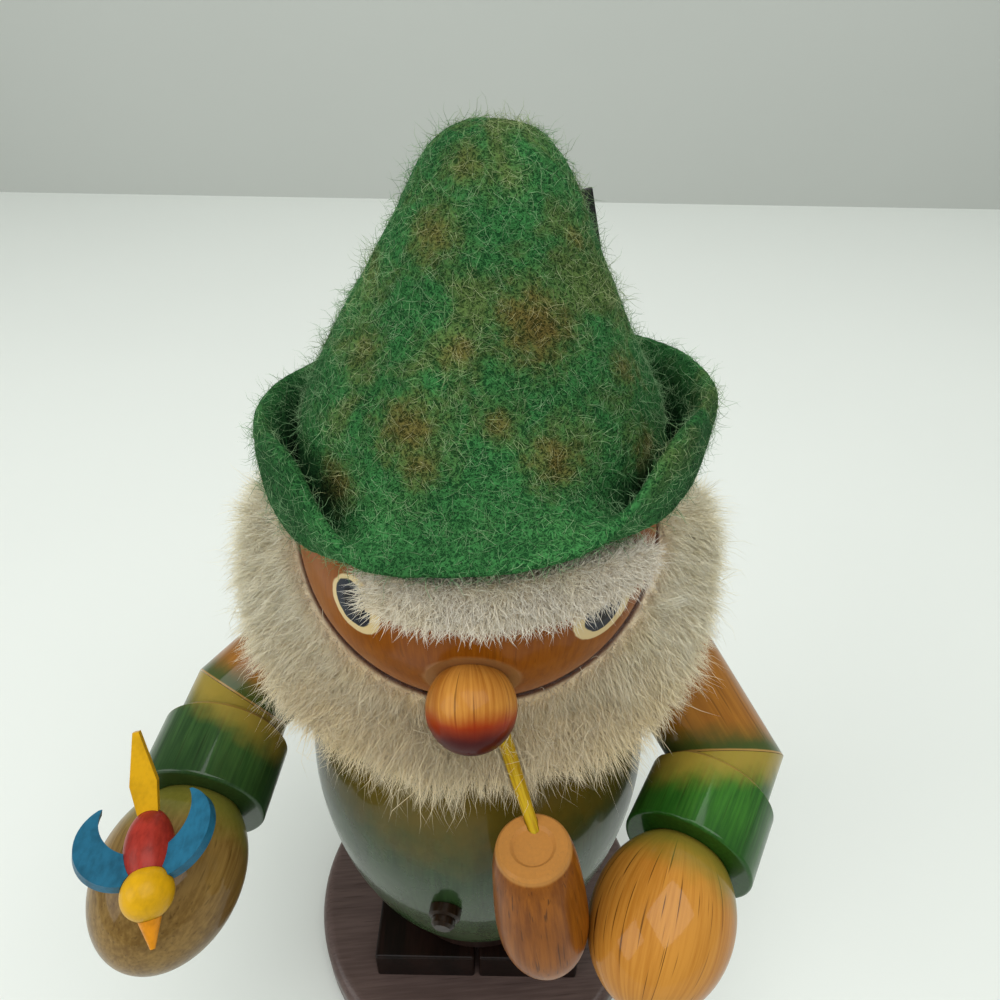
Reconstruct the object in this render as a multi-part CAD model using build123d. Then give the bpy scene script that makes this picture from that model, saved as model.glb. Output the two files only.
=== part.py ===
from build123d import *
import os
from math import asin, cos, degrees, radians, sin, sqrt

os.makedirs("parts", exist_ok=True)

# A turned wooden incense smoker: a bearded figure in a felt hat, with a pipe in its mouth and a small
# bird on its right hand. The hollow upper figure lifts off a spigot, where the incense cone burns on a
# tin tray, and the smoke rises through the neck and leaves by the mouth.
# Millimetres, +Z up. The figure faces -Y, so its own right hand is on the -X side.

# Fits
GLUE_GAP = 0.1
SEAT_GAP = 0.3
SPIGOT_CLEARANCE = 0.4
FUR_GAP = 0.3

# Base plate and shoes
BASE_DIAMETER = 91.0
BASE_THICKNESS = 10.0
BASE_EDGE_RADIUS = 3.0
SHOE_WIDTH = 26.0
SHOE_LENGTH = 47.0
SHOE_HEIGHT = 10.0
SHOE_SPLIT = 1.2
SHOE_TOE = 25.0
SHOE_EDGE_RADIUS = 0.8

# Trouser block, its spigot, and the tin tray nailed on top
TROUSER_DIAMETER = 46.0
TROUSER_HEIGHT = 9.0
SPIGOT_DIAMETER = 37.0
SPIGOT_HEIGHT = 12.0
TRAY_DIAMETER = 30.0
TRAY_RIM = 3.0
TRAY_SHEET = 0.6
TACK_DIAMETER = 1.6
TACK_HEAD_DIAMETER = 4.4
TACK_LENGTH = 10.0

# Hollow torso
TORSO_DIAMETER = 76.0
TORSO_HEIGHT = 88.0
TORSO_BULGE_HEIGHT = 54.0
TORSO_FOOT_DIAMETER = 47.0
NECK_DIAMETER = 34.0
CHAMBER_DEPTH = 64.0
CHAMBER_ROOF_SLOPE = 6.0
DRAUGHT_DIAMETER = 7.0
DRAUGHT_HEIGHT = 24.0

# Head, nose and mouth
HEAD_DIAMETER = 66.0
TENON_DIAMETER = 19.0
TENON_LENGTH = 15.0
SMOKE_BORE = 10.0
MOUTH_DIAMETER = 7.0
MOUTH_DROP = 23.5
MOUTH_SIDE = -3.4
NOSE_DIAMETER = 14.8
NOSE_SEAT_DIAMETER = 15.4
NOSE_FLAT_DIAMETER = 11.0
NOSE_DIP = 17.5
NOSE_PEG_DIAMETER = 5.0
NOSE_PEG_LENGTH = 7.0

# Fur: beard in front, hair behind, brow strip under the hat
BEARD_REACH = 14.0
BEARD_LENGTH = 38.0
BEARD_SWEEP = 196.0
HAIR_REACH = 11.0
HAIR_LENGTH = 25.0
FACE_TILT = 43.0
FACE_OFFSET = 3.0
BROW_THICKNESS = 4.0
BROW_LOW = 6.0
BROW_HIGH = 13.5
BROW_SWEEP = 84.0
BROW_TURN = 14.5

# Felt hat
FELT = 3.0
BRIM_REACH = 6.2
BRIM_RISE = 25.5
CROWN_RISE = 34.5
CROWN_INSET = 0.8
HAT_TILT_BACK = 8.0
HAT_TILT_SIDE = 2.2
STRIP_WIDTH = 9.0
STRIP_LENGTH = 38.0
STRIP_THICKNESS = 1.4
STRIP_LEAN = 13.5

# Arms and hands
ARM_RADIUS = 11.0
ARM_SINK = 1.5
SHOULDER_HEIGHT = 72.0
CUFF_RADIUS = 13.0
CUFF_BEVEL = 1.5
CUFF_START = 8.5
CUFF_LENGTH = 16.5
HAND_RADIUS = 13.2
HAND_HALF_LENGTH = 16.5
HAND_DEPTH = 13.0
ARM_DOWEL_DIAMETER = 6.0
HAND_PEG_DIAMETER = 7.0
HAND_PEG_LENGTH = 9.0
RIGHT_ELBOW = Vector(-10.6, -4.0, -8.7)
RIGHT_FOREARM = Vector(-3.1, -35.8, -3.5)
LEFT_FOREARM = Vector(-17.9, -31.1, -3.1)
LEFT_HAND_DROP = 28.55
LEFT_HAND_TURN = 173.2
HAND_BOWL_GAP = 0.5

# Pipe
STEM_ROOT_DIAMETER = 3.4
STEM_TIP_DIAMETER = 1.8
STEM_SIDE = 3.0
STEM_DROP = 21.5
STEM_YAW = 24.0
STEM_FALL = 34.0
STEM_LENGTH = 21.5
STEM_SUNK = 6.0
BOWL_TOP_DIAMETER = 12.6
BOWL_DIAMETER = 16.8
BOWL_HEIGHT = 36.0
BOWL_DISH = 0.5

# Bird
BIRD_RADIUS = 4.0
BIRD_HALF_LENGTH = 7.0
BIRD_HEAD_RADIUS = 4.1
BIRD_NECK = 4.6
BIRD_TURN = 18.0
BIRD_PITCH = 3.0
BIRD_STANCE = Vector(2.4, -5.0, 17.3)
BEAK_LENGTH = 5.0
TAIL_LENGTH = 15.0
TAIL_THICKNESS = 1.8
TAIL_RISE = 45.0
WING_THICKNESS = 1.8
WING_LIFT = 18.0

# Buttons
BUTTON_DIAMETER = 6.6
BUTTON_HEIGHT = 4.0
BUTTON_LEVEL = 43.0
BUTTON_SPREAD = 10.9
BUTTON_TURN = 2.2
BUTTON_PEG_DIAMETER = 3.0
BUTTON_PEG_LENGTH = 6.0

# Heights that follow from the sizes above
base_top = BASE_THICKNESS
shoe_top = base_top + SHOE_HEIGHT
trouser_top = shoe_top + TROUSER_HEIGHT
spigot_top = trouser_top + SPIGOT_HEIGHT
torso_bottom = trouser_top + SEAT_GAP
torso_top = torso_bottom + TORSO_HEIGHT
torso_radius = TORSO_DIAMETER / 2
bulge_z = torso_bottom + TORSO_BULGE_HEIGHT
head_radius = HEAD_DIAMETER / 2
head_z = torso_top + sqrt(head_radius**2 - (NECK_DIAMETER / 2) ** 2)
head_centre = Vector(0, 0, head_z)
brim_radius = head_radius + BRIM_REACH
crown_height = head_radius + CROWN_RISE
foot_share = TORSO_FOOT_DIAMETER / TORSO_DIAMETER
neck_share = NECK_DIAMETER / TORSO_DIAMETER
bulge_drop = TORSO_BULGE_HEIGHT / sqrt(1 - foot_share**2)
bulge_rise = (TORSO_HEIGHT - TORSO_BULGE_HEIGHT) / sqrt(1 - neck_share**2)


def rod(radius, start, end):
    """A cylinder between two points."""
    along = Vector(end) - Vector(start)
    return Plane(Vector(start), z_dir=along) * Pos(0, 0, along.length / 2) * Cylinder(radius, along.length)


def half_space(point, normal, size=200.0):
    """A block that fills the side of a plane that its normal points to."""
    return Plane(Vector(point), z_dir=Vector(normal)) * Pos(0, 0, size / 2) * Box(size, size, size)


def turned(points, arc=360.0):
    """A solid of revolution about Z from a closed outline of radius and height pairs."""
    outline = Plane.XZ * Polyline(*points, close=True)
    return revolve(make_face(outline), Axis.Z, arc)


def ellipse_points(radius, half_height, low, high, steps):
    """Points along an ellipse about the axis between two angles in degrees."""
    angles = [radians(low + (high - low) * i / steps) for i in range(steps + 1)]
    return [(radius * cos(a), half_height * sin(a)) for a in angles]


def ovoid(radius, half_length):
    """An egg-shaped turning about Z with its middle at the origin."""
    pull = 0.5523
    across = pull * radius
    along = pull * half_length
    with BuildPart() as part:
        with BuildSketch(Plane.XZ):
            with BuildLine():
                low = Bezier((0, -half_length), (across, -half_length), (radius, -along), (radius, 0))
                high = Bezier((radius, 0), (radius, along), (across, half_length), (0, half_length))
                Line(high @ 1, low @ 0)
            make_face()
        revolve(axis=Axis.Z)
    return part.part


def torso_blank(grow=0.0):
    """The torso's outside as a full solid, enlarged on every side by grow."""
    low = torso_bottom - grow
    high = torso_top + grow
    wide = torso_radius + grow
    low_angle = degrees(asin((low - bulge_z) / (bulge_drop + grow)))
    high_angle = degrees(asin((high - bulge_z) / (bulge_rise + grow)))
    lower = ellipse_points(wide, bulge_drop + grow, low_angle, 0, 5)
    upper = ellipse_points(wide, bulge_rise + grow, 0, high_angle, 6)
    points = [(r, bulge_z + h) for r, h in lower + upper[1:]]
    foot_way = (-wide * sin(radians(low_angle)), (bulge_drop + grow) * cos(radians(low_angle)))
    neck_way = (-wide * sin(radians(high_angle)), (bulge_rise + grow) * cos(radians(high_angle)))
    with BuildPart() as part:
        with BuildSketch(Plane.XZ):
            with BuildLine():
                side = Spline(*points, tangents=[foot_way, neck_way])
                Polyline(side @ 1, (0, high), (0, low), side @ 0)
            make_face()
        revolve(axis=Axis.Z)
    return part.part


def torso_spot(height, turn):
    """A point on the torso at a height over its foot and a turn from the front, and the normal there."""
    z = torso_bottom + height
    half = bulge_drop if z < bulge_z else bulge_rise
    radius = torso_radius * sqrt(1 - ((z - bulge_z) / half) ** 2)
    across = radius / torso_radius**2
    up = (z - bulge_z) / half**2
    outward = Vector(sin(radians(turn)), -cos(radians(turn)), 0)
    normal = (outward * across + Vector(0, 0, up)).normalized()
    return outward * radius + Vector(0, 0, z), normal


def make_base_plate():
    plate = Pos(0, 0, base_top / 2) * Cylinder(BASE_DIAMETER / 2, BASE_THICKNESS)
    plate = fillet(plate.edges().group_by(Axis.Z)[-1], BASE_EDGE_RADIUS)
    plate = chamfer(plate.edges().group_by(Axis.Z)[0], 0.8)
    return plate - make_shoe_dowels(GLUE_GAP)


def shoe_middle(side):
    return Vector(side * (SHOE_WIDTH + SHOE_SPLIT) / 2, SHOE_LENGTH / 2 - SHOE_TOE, base_top + SHOE_HEIGHT / 2)


def make_shoe(side):
    shoe = Pos(shoe_middle(side)) * Box(SHOE_WIDTH, SHOE_LENGTH, SHOE_HEIGHT)
    shoe = fillet(shoe.edges().filter_by(Axis.Z) + shoe.edges().group_by(Axis.Z)[-1], SHOE_EDGE_RADIUS)
    return shoe - make_shoe_dowels(GLUE_GAP) - make_leg_dowels(GLUE_GAP)


def make_shoe_dowels(grow=0.0):
    """Two dowels a shoe, half in the base plate."""
    dowels = []
    for side in (-1, 1):
        for step in (-1, 1):
            foot = shoe_middle(side) + Vector(0, step * SHOE_LENGTH * 0.3, 0)
            low = Vector(foot.X, foot.Y, base_top - 5 - grow)
            high = Vector(foot.X, foot.Y, base_top + 4 + grow)
            dowels.append(rod(2.0 + grow, low, high))
    return Part() + dowels


def make_leg_dowels(grow=0.0):
    """One dowel a shoe that carries the trouser block."""
    dowels = []
    for side in (-1, 1):
        x = shoe_middle(side).X
        low = Vector(x, 0, shoe_top - 5 - grow)
        high = Vector(x, 0, shoe_top + 5 + grow)
        dowels.append(rod(2.5 + grow, low, high))
    return Part() + dowels


def make_trousers():
    outer = TROUSER_DIAMETER / 2
    inner = SPIGOT_DIAMETER / 2
    block = turned(
        [
            (0, shoe_top),
            (outer - 2, shoe_top),
            (outer, shoe_top + 2),
            (outer, trouser_top - 1),
            (outer - 1, trouser_top),
            (inner, trouser_top),
            (inner, spigot_top - 1.5),
            (inner - 1.5, spigot_top),
            (0, spigot_top),
        ]
    )
    return block - make_leg_dowels(GLUE_GAP) - make_tack(GLUE_GAP)


def make_tray():
    radius = TRAY_DIAMETER / 2
    low = spigot_top
    dish = turned(
        [
            (TACK_DIAMETER / 2 + GLUE_GAP, low),
            (radius - 1.2, low),
            (radius, low + TRAY_RIM),
            (radius - TRAY_SHEET, low + TRAY_RIM),
            (radius - 1.2 - TRAY_SHEET, low + TRAY_SHEET),
            (TACK_DIAMETER / 2 + GLUE_GAP, low + TRAY_SHEET),
        ]
    )
    return dish


def make_tack(grow=0.0):
    top = spigot_top + TRAY_SHEET
    shank = TACK_DIAMETER / 2 + grow
    head = TACK_HEAD_DIAMETER / 2
    return turned(
        [
            (0, top - TACK_LENGTH - grow),
            (shank, top - TACK_LENGTH + 2),
            (shank, top),
            (head, top),
            (head * 0.7, top + 0.9),
            (0, top + 1.1),
        ]
    )


def make_torso(arms):
    """The hollow turning: chamber, neck bore, draught hole and the holes for arm dowels and buttons."""
    chamber = SPIGOT_DIAMETER / 2 + SPIGOT_CLEARANCE
    neck = TENON_DIAMETER / 2 + GLUE_GAP
    roof = torso_bottom + CHAMBER_DEPTH
    hollow = turned(
        [
            (0, torso_bottom - 1),
            (chamber, torso_bottom - 1),
            (chamber, roof - CHAMBER_ROOF_SLOPE),
            (neck, roof),
            (neck, torso_top + 1),
            (0, torso_top + 1),
        ]
    )
    torso = torso_blank() - hollow
    draught = torso_bottom + DRAUGHT_HEIGHT
    torso -= rod(DRAUGHT_DIAMETER / 2, (0, 0, draught), (0, TORSO_DIAMETER, draught))
    for arm in arms:
        torso -= make_shoulder_dowel(arm, GLUE_GAP)
    return torso - button_pegs(GLUE_GAP)


def nose_plane():
    """The face's flat seat for the nose, with Z pointing out along the nose."""
    outward = Vector(0, -cos(radians(NOSE_DIP)), -sin(radians(NOSE_DIP)))
    return Plane(head_centre + outward * sqrt(head_radius**2 - (NOSE_SEAT_DIAMETER / 2) ** 2), z_dir=outward)


def stem_line():
    """The pipe stem's root on the face and the direction it points in."""
    drop = STEM_DROP
    front = sqrt(head_radius**2 - STEM_SIDE**2 - drop**2)
    root = head_centre + Vector(STEM_SIDE, -front, -drop)
    level = cos(radians(STEM_FALL))
    way = Vector(level * sin(radians(STEM_YAW)), -level * cos(radians(STEM_YAW)), -sin(radians(STEM_FALL)))
    return root, way


def make_head():
    """A ball on a hollow tenon, bored up to the mouth."""
    ball = Pos(head_centre) * Sphere(head_radius)
    ball -= half_space((0, 0, torso_top), (0, 0, -1))
    ball += rod(TENON_DIAMETER / 2, (0, 0, torso_top - TENON_LENGTH), (0, 0, torso_top + 2))
    mouth_z = head_z - MOUTH_DROP
    ball -= rod(SMOKE_BORE / 2, (0, 0, torso_top - TENON_LENGTH - 1), (0, 0, mouth_z + MOUTH_DIAMETER / 2 + 1))
    ball -= rod(MOUTH_DIAMETER / 2, (MOUTH_SIDE, 0, mouth_z), (MOUTH_SIDE, -head_radius, mouth_z))
    seat = nose_plane()
    ball -= seat * Pos(0, 0, 5) * Cylinder(NOSE_SEAT_DIAMETER / 2, 10)
    ball -= seat * Pos(0, 0, -NOSE_PEG_LENGTH / 2) * Cylinder(
        NOSE_PEG_DIAMETER / 2 + GLUE_GAP, NOSE_PEG_LENGTH + 2 * GLUE_GAP
    )
    return ball - make_stem(GLUE_GAP)


def make_nose():
    radius = NOSE_DIAMETER / 2
    rise = sqrt(radius**2 - (NOSE_FLAT_DIAMETER / 2) ** 2)
    nose = Pos(0, 0, rise) * Sphere(radius)
    nose -= half_space((0, 0, GLUE_GAP / 2), (0, 0, -1))
    nose += Pos(0, 0, -NOSE_PEG_LENGTH / 2 + 0.5) * Cylinder(NOSE_PEG_DIAMETER / 2, NOSE_PEG_LENGTH + 1)
    return nose_plane() * nose


def fur_collar(reach, length, sweep, middle):
    """A thick ring of fur round the head, open over part of a turn. Middle is its turn from the front."""
    radius = head_radius + reach
    outline = [
        (head_radius * 0.62, head_z + 6),
        (radius - 4, head_z + 6),
        (radius - 1, head_z + 2),
        (radius, head_z - 4),
        (radius - 0.5, head_z - 0.38 * length),
        (radius - 4.5, head_z - 0.75 * length),
        (radius - 11, head_z - length),
        (radius - 15, head_z - length),
        (head_radius * 0.62, head_z - 0.6 * length),
    ]
    return Rot(0, 0, middle - 90 - sweep / 2) * turned(outline, sweep)


def make_beard(arms):
    """The front fur, cut clear of the face, torso, arms, hat, mouth and pipe stem."""
    beard = fur_collar(BEARD_REACH, BEARD_LENGTH, BEARD_SWEEP, 0)
    beard -= Pos(head_centre) * Sphere(head_radius + FUR_GAP)
    beard -= torso_blank(FUR_GAP)
    face = Vector(0, -cos(radians(FACE_TILT)), sin(radians(FACE_TILT)))
    beard -= half_space(head_centre + face * FACE_OFFSET, face)
    beard -= hat_plane() * hat_envelope(FUR_GAP)
    mouth_z = head_z - MOUTH_DROP
    beard -= rod(MOUTH_DIAMETER / 2 + 1, (MOUTH_SIDE, 0, mouth_z), (MOUTH_SIDE, -2 * head_radius, mouth_z))
    beard -= make_stem(FUR_GAP)
    beard -= make_nose_room()
    beard -= bowl_room()
    for arm in arms:
        beard -= upper_arm_blank(arm, FUR_GAP)
    return largest(beard)


def make_nose_room():
    radius = NOSE_DIAMETER / 2
    rise = sqrt(radius**2 - (NOSE_FLAT_DIAMETER / 2) ** 2)
    return nose_plane() * Pos(0, 0, rise) * Sphere(radius + FUR_GAP)


def make_hair(arms):
    """The fur at the back of the head."""
    hair = fur_collar(HAIR_REACH, HAIR_LENGTH, 360 - BEARD_SWEEP - 1, 180)
    hair -= Pos(head_centre) * Sphere(head_radius + FUR_GAP)
    hair -= torso_blank(FUR_GAP)
    hair -= hat_plane() * hat_envelope(FUR_GAP)
    for arm in arms:
        hair -= upper_arm_blank(arm, FUR_GAP)
    return largest(hair)


def make_brow():
    """The short fur strip between the eyes and the hat."""
    ring = turned(
        [
            (head_radius * 0.8, head_z + BROW_LOW),
            (head_radius + BROW_THICKNESS, head_z + BROW_LOW),
            (head_radius + BROW_THICKNESS, head_z + BROW_HIGH),
            (head_radius * 0.8, head_z + BROW_HIGH),
        ],
        BROW_SWEEP,
    )
    brow = Rot(0, 0, BROW_TURN - 90 - BROW_SWEEP / 2) * ring
    brow &= Pos(head_centre) * Sphere(head_radius + BROW_THICKNESS)
    brow -= Pos(head_centre) * Sphere(head_radius + FUR_GAP)
    brow -= hat_plane() * hat_envelope(FUR_GAP)
    return largest(brow)


def largest(shape):
    """The biggest solid of a cut piece, without loose crumbs."""
    return Part() + shape.solids().sort_by(SortBy.VOLUME)[-1]


def hat_plane():
    """The hat's own frame on the middle of the head, leaning back and to one side."""
    up = Vector(sin(radians(HAT_TILT_SIDE)), sin(radians(HAT_TILT_BACK)), 1).normalized()
    return Plane(head_centre, x_dir=Vector(1, 0, -up.X / up.Z), z_dir=up)


def crown_points(inset):
    """Points up the crown from the brim to the tip, moved inward by inset."""
    base = head_radius - CROWN_INSET - inset
    top = crown_height - inset
    return [
        (base * 0.89, top * 0.39),
        (base * 0.72, top * 0.575),
        (base * 0.505, top * 0.775),
        (base * 0.31, top * 0.93),
        (0, top),
    ]


def band_radius(height):
    """The hat's inner radius where it sits on the head."""
    return sqrt(head_radius**2 - height**2) + GLUE_GAP * 2


def brim_outside():
    return [
        (head_radius + 2.5, 8.0),
        (brim_radius - 2.8, 10.5),
        (brim_radius - 0.8, BRIM_RISE * 0.7),
        (brim_radius, BRIM_RISE),
    ]


def hat_envelope(grow):
    """The space that the hat and all inside it takes up, enlarged by grow."""
    points = [(r + grow, h - grow * (i == 0)) for i, (r, h) in enumerate(brim_outside())]
    points += [(brim_radius + grow, BRIM_RISE + 1)]
    crown = [(r + grow, h + grow) for r, h in crown_points(0)]
    return turned([(0, 8.0 - grow)] + points + [(crown[0][0], BRIM_RISE + 1.5)] + crown + [(0, crown_height + grow)])


def make_hat():
    """One felt shell: a pointed crown and a brim turned up all round."""
    inner = [(band_radius(12.5), 12.5)] + crown_points(FELT)
    outer = [(head_radius - CROWN_INSET, 14.5)] + crown_points(0)
    gutter = [
        (brim_radius - FELT + 0.2, BRIM_RISE),
        (brim_radius - FELT - 0.8, BRIM_RISE * 0.72),
        (brim_radius - FELT - 1.6, 13.4),
        (head_radius - CROWN_INSET + 1.2, 12.6),
    ]
    with BuildPart() as part:
        with BuildSketch(Plane.XZ):
            with BuildLine():
                outside = Spline(*outer, tangents=[(-0.15, 1), (-1, 0)])
                inside = Spline(*inner, tangents=[(-0.15, 1), (-1, 0)])
                Line(outside @ 1, inside @ 1)
                rim = [(band_radius(9.5), 9.5)] + brim_outside() + gutter
                Polyline(inside @ 0, *rim, outside @ 0)
            make_face()
        revolve(axis=Axis.Z)
    return hat_plane() * part.part


def make_strip():
    """A flat black strip that stands in the brim behind the crown."""
    lean = Vector(-sin(radians(STRIP_LEAN)), 0, cos(radians(STRIP_LEAN)))
    top = head_centre + Vector(15.3, brim_radius - 9.2, crown_height - 16.0)
    frame = Plane(top, x_dir=Vector(lean.Z, 0, -lean.X), z_dir=lean)
    strip = frame * Pos(0, 0, -STRIP_LENGTH / 2) * Box(STRIP_WIDTH, STRIP_THICKNESS, STRIP_LENGTH)
    return largest(strip - make_hat_room())


def make_hat_room():
    """The felt itself, a little enlarged, for pieces that lie against it."""
    hat = make_hat()
    return hat + Pos(0, GLUE_GAP, 0) * hat + Pos(0, -GLUE_GAP, 0) * hat


class Arm:
    """Where one arm bends: the shoulder dome, the elbow and the two directions."""

    def __init__(self, side, elbow, forearm):
        self.side = side
        self.root, self.normal = torso_spot(SHOULDER_HEIGHT, side * 90)
        self.shoulder = self.root + self.normal * (ARM_RADIUS - ARM_SINK)
        self.elbow = self.shoulder + elbow
        self.upper_way = elbow.normalized()
        self.fore_way = forearm.normalized()
        self.mitre = (self.upper_way + self.fore_way).normalized()
        self.fore_plane = Plane(self.elbow, z_dir=self.fore_way)
        self.cuff_end = CUFF_START + CUFF_LENGTH
        self.hand_middle = self.elbow + self.fore_way * (self.cuff_end + HAND_DEPTH)


def left_elbow():
    """The left elbow from its shoulder, for a hand that lies beside the pipe bowl."""
    reach = BOWL_DIAMETER / 2 + HAND_BOWL_GAP + HAND_RADIUS
    turn = radians(LEFT_HAND_TURN)
    hand = bowl_plane().from_local_coords(Vector(reach * cos(turn), reach * sin(turn), LEFT_HAND_DROP))
    elbow = hand - LEFT_FOREARM.normalized() * (CUFF_START + CUFF_LENGTH + HAND_DEPTH)
    root, normal = torso_spot(SHOULDER_HEIGHT, 90)
    return elbow - root - normal * (ARM_RADIUS - ARM_SINK)


def upper_arm_blank(arm, grow=0.0):
    """The upper arm with its shoulder dome, cut at the elbow's mitre."""
    blank = Pos(arm.shoulder) * Sphere(ARM_RADIUS + grow)
    blank += rod(ARM_RADIUS + grow, arm.shoulder, arm.elbow + arm.upper_way * 2 * ARM_RADIUS)
    return blank - half_space(arm.elbow - arm.mitre * (GLUE_GAP / 2 - grow), arm.mitre)


def make_upper_arm(arm):
    piece = upper_arm_blank(arm) - torso_blank(GLUE_GAP)
    return piece - make_shoulder_dowel(arm, GLUE_GAP) - make_elbow_dowel(arm, GLUE_GAP)


def make_shoulder_dowel(arm, grow=0.0):
    inside = arm.root - arm.normal * (8 + grow)
    outside = arm.root + arm.normal * (9 + grow)
    return rod(ARM_DOWEL_DIAMETER / 2 + grow, inside, outside)


def make_elbow_dowel(arm, grow=0.0):
    reach = 6 + grow
    return rod(ARM_DOWEL_DIAMETER / 2 + grow, arm.elbow - arm.mitre * reach, arm.elbow + arm.mitre * reach)


def make_forearm(arm):
    """The lower sleeve: a short length of arm, then a wider cuff dished for the hand."""
    sleeve = Pos(0, 0, CUFF_START / 2 - ARM_RADIUS) * Cylinder(ARM_RADIUS, CUFF_START + 2 * ARM_RADIUS)
    cuff = Pos(0, 0, CUFF_START + CUFF_LENGTH / 2) * Cylinder(CUFF_RADIUS, CUFF_LENGTH)
    cuff = chamfer(cuff.edges().group_by(Axis.Z)[0], CUFF_BEVEL)
    cuff = fillet(cuff.edges().group_by(Axis.Z)[-1], 0.7)
    piece = sleeve + cuff
    piece -= Pos(0, 0, arm.cuff_end + HAND_DEPTH) * ovoid(HAND_RADIUS + GLUE_GAP, HAND_HALF_LENGTH + GLUE_GAP)
    piece -= hand_peg(arm, GLUE_GAP)
    piece = arm.fore_plane * piece
    piece -= half_space(arm.elbow + arm.mitre * GLUE_GAP / 2, -arm.mitre)
    return largest(piece - make_elbow_dowel(arm, GLUE_GAP))


def hand_peg(arm, grow=0.0):
    top = arm.cuff_end + HAND_DEPTH - HAND_HALF_LENGTH
    return Pos(0, 0, top - HAND_PEG_LENGTH / 2 + 1) * Cylinder(
        HAND_PEG_DIAMETER / 2 + grow, HAND_PEG_LENGTH + 2 + 2 * grow
    )


def make_hand(arm):
    egg = Pos(0, 0, arm.cuff_end + HAND_DEPTH) * ovoid(HAND_RADIUS, HAND_HALF_LENGTH)
    return arm.fore_plane * (egg + hand_peg(arm))


def stem_blank(grow):
    """The quill from inside the head to inside the bowl, along Z from its root on the face."""
    start = -STEM_SUNK - grow
    end = STEM_LENGTH + STEM_SUNK + grow
    quill = Cone(STEM_ROOT_DIAMETER / 2 + grow, STEM_TIP_DIAMETER / 2 + grow, end - start)
    return Pos(0, 0, (start + end) / 2) * quill


def make_stem(grow=0.0):
    root, way = stem_line()
    return Plane(root, z_dir=way) * stem_blank(grow)


def bowl_plane():
    """The middle of the bowl's flat top, with Z pointing down the bowl."""
    root, way = stem_line()
    entry = root + way * STEM_LENGTH
    return Plane(entry + Vector(0.2, -4.6, 0.3), z_dir=Vector(0.12, -0.06, -1))


def bowl_room():
    """A plain barrel round the bowl, for the fur to stay clear of."""
    return bowl_plane() * Pos(0, 0, BOWL_HEIGHT / 2 - 1) * Cylinder(BOWL_DIAMETER / 2 + FUR_GAP, BOWL_HEIGHT + 2)


def make_bowl():
    rim = BOWL_TOP_DIAMETER / 2
    belly = BOWL_DIAMETER / 2
    dish = rim * 0.62
    with BuildPart() as part:
        with BuildSketch(Plane.XZ):
            with BuildLine():
                side = Spline(
                    (rim, 0.5),
                    (belly * 0.93, BOWL_HEIGHT * 0.28),
                    (belly, BOWL_HEIGHT * 0.56),
                    (belly * 0.78, BOWL_HEIGHT * 0.86),
                    (0, BOWL_HEIGHT),
                    tangents=[(0.35, 1), (-1, 0)],
                )
                Polyline(side @ 1, (0, BOWL_DISH), (dish - 0.6, BOWL_DISH), (dish, 0), (rim - 0.5, 0), side @ 0)
            make_face()
        revolve(axis=Axis.Z)
    return bowl_plane() * part.part - make_stem(GLUE_GAP)


def bird_plane():
    """The bird's own frame: X across, Y up and Z towards the beak."""
    turn = radians(BIRD_TURN)
    level = cos(radians(BIRD_PITCH))
    return Plane(
        right_arm.hand_middle + BIRD_STANCE,
        x_dir=Vector(cos(turn), sin(turn), 0),
        z_dir=Vector(level * sin(turn), -level * cos(turn), -sin(radians(BIRD_PITCH))),
    )


def hand_room(grow):
    egg = Pos(0, 0, right_arm.cuff_end + HAND_DEPTH) * ovoid(HAND_RADIUS + grow, HAND_HALF_LENGTH + grow)
    return right_arm.fore_plane * egg


def make_bird_body():
    body = ovoid(BIRD_RADIUS, BIRD_HALF_LENGTH)
    body -= half_space((0, 0, BIRD_NECK), (0, 0, 1))
    return bird_plane() * body - hand_room(GLUE_GAP) - make_bird_peg(GLUE_GAP)


def bird_head_middle():
    neck = BIRD_RADIUS * sqrt(1 - (BIRD_NECK / BIRD_HALF_LENGTH) ** 2)
    return Vector(0, 0, BIRD_NECK + sqrt(BIRD_HEAD_RADIUS**2 - neck**2))


def make_bird_head():
    head = Pos(bird_head_middle()) * Sphere(BIRD_HEAD_RADIUS)
    head -= half_space((0, 0, BIRD_NECK + GLUE_GAP), (0, 0, -1))
    return bird_plane() * head


def make_beak():
    way = Vector(0, -0.55, 0.83)
    root = bird_head_middle() + way * (BIRD_HEAD_RADIUS - 1.0)
    cone = Plane(root, z_dir=way) * Pos(0, 0, BEAK_LENGTH / 2) * Cone(2.0, 0.4, BEAK_LENGTH)
    return bird_plane() * (cone - Pos(bird_head_middle()) * Sphere(BIRD_HEAD_RADIUS + GLUE_GAP / 2))


def make_tail():
    """A flat pointed tail that rises behind the bird."""
    rise = radians(TAIL_RISE)
    way = Vector(0, sin(rise), -cos(rise))
    root = Vector(0, 0.6, -BIRD_HALF_LENGTH * 0.72)
    flat = Plane(root, x_dir=(1, 0, 0), z_dir=way.cross(Vector(1, 0, 0)))
    side = flat.to_local_coords(root + way).Y
    half = [(1.5, 0.0), (2.2, 0.42), (0.5, 1.0)]
    outline = [(w, side * share * TAIL_LENGTH) for w, share in half]
    outline += [(-w, y) for w, y in reversed(outline)]
    tail = extrude(make_face(flat * Polyline(*outline, close=True)), TAIL_THICKNESS / 2, both=True)
    return bird_plane() * (tail - ovoid(BIRD_RADIUS + GLUE_GAP / 2, BIRD_HALF_LENGTH + GLUE_GAP / 2))


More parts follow.
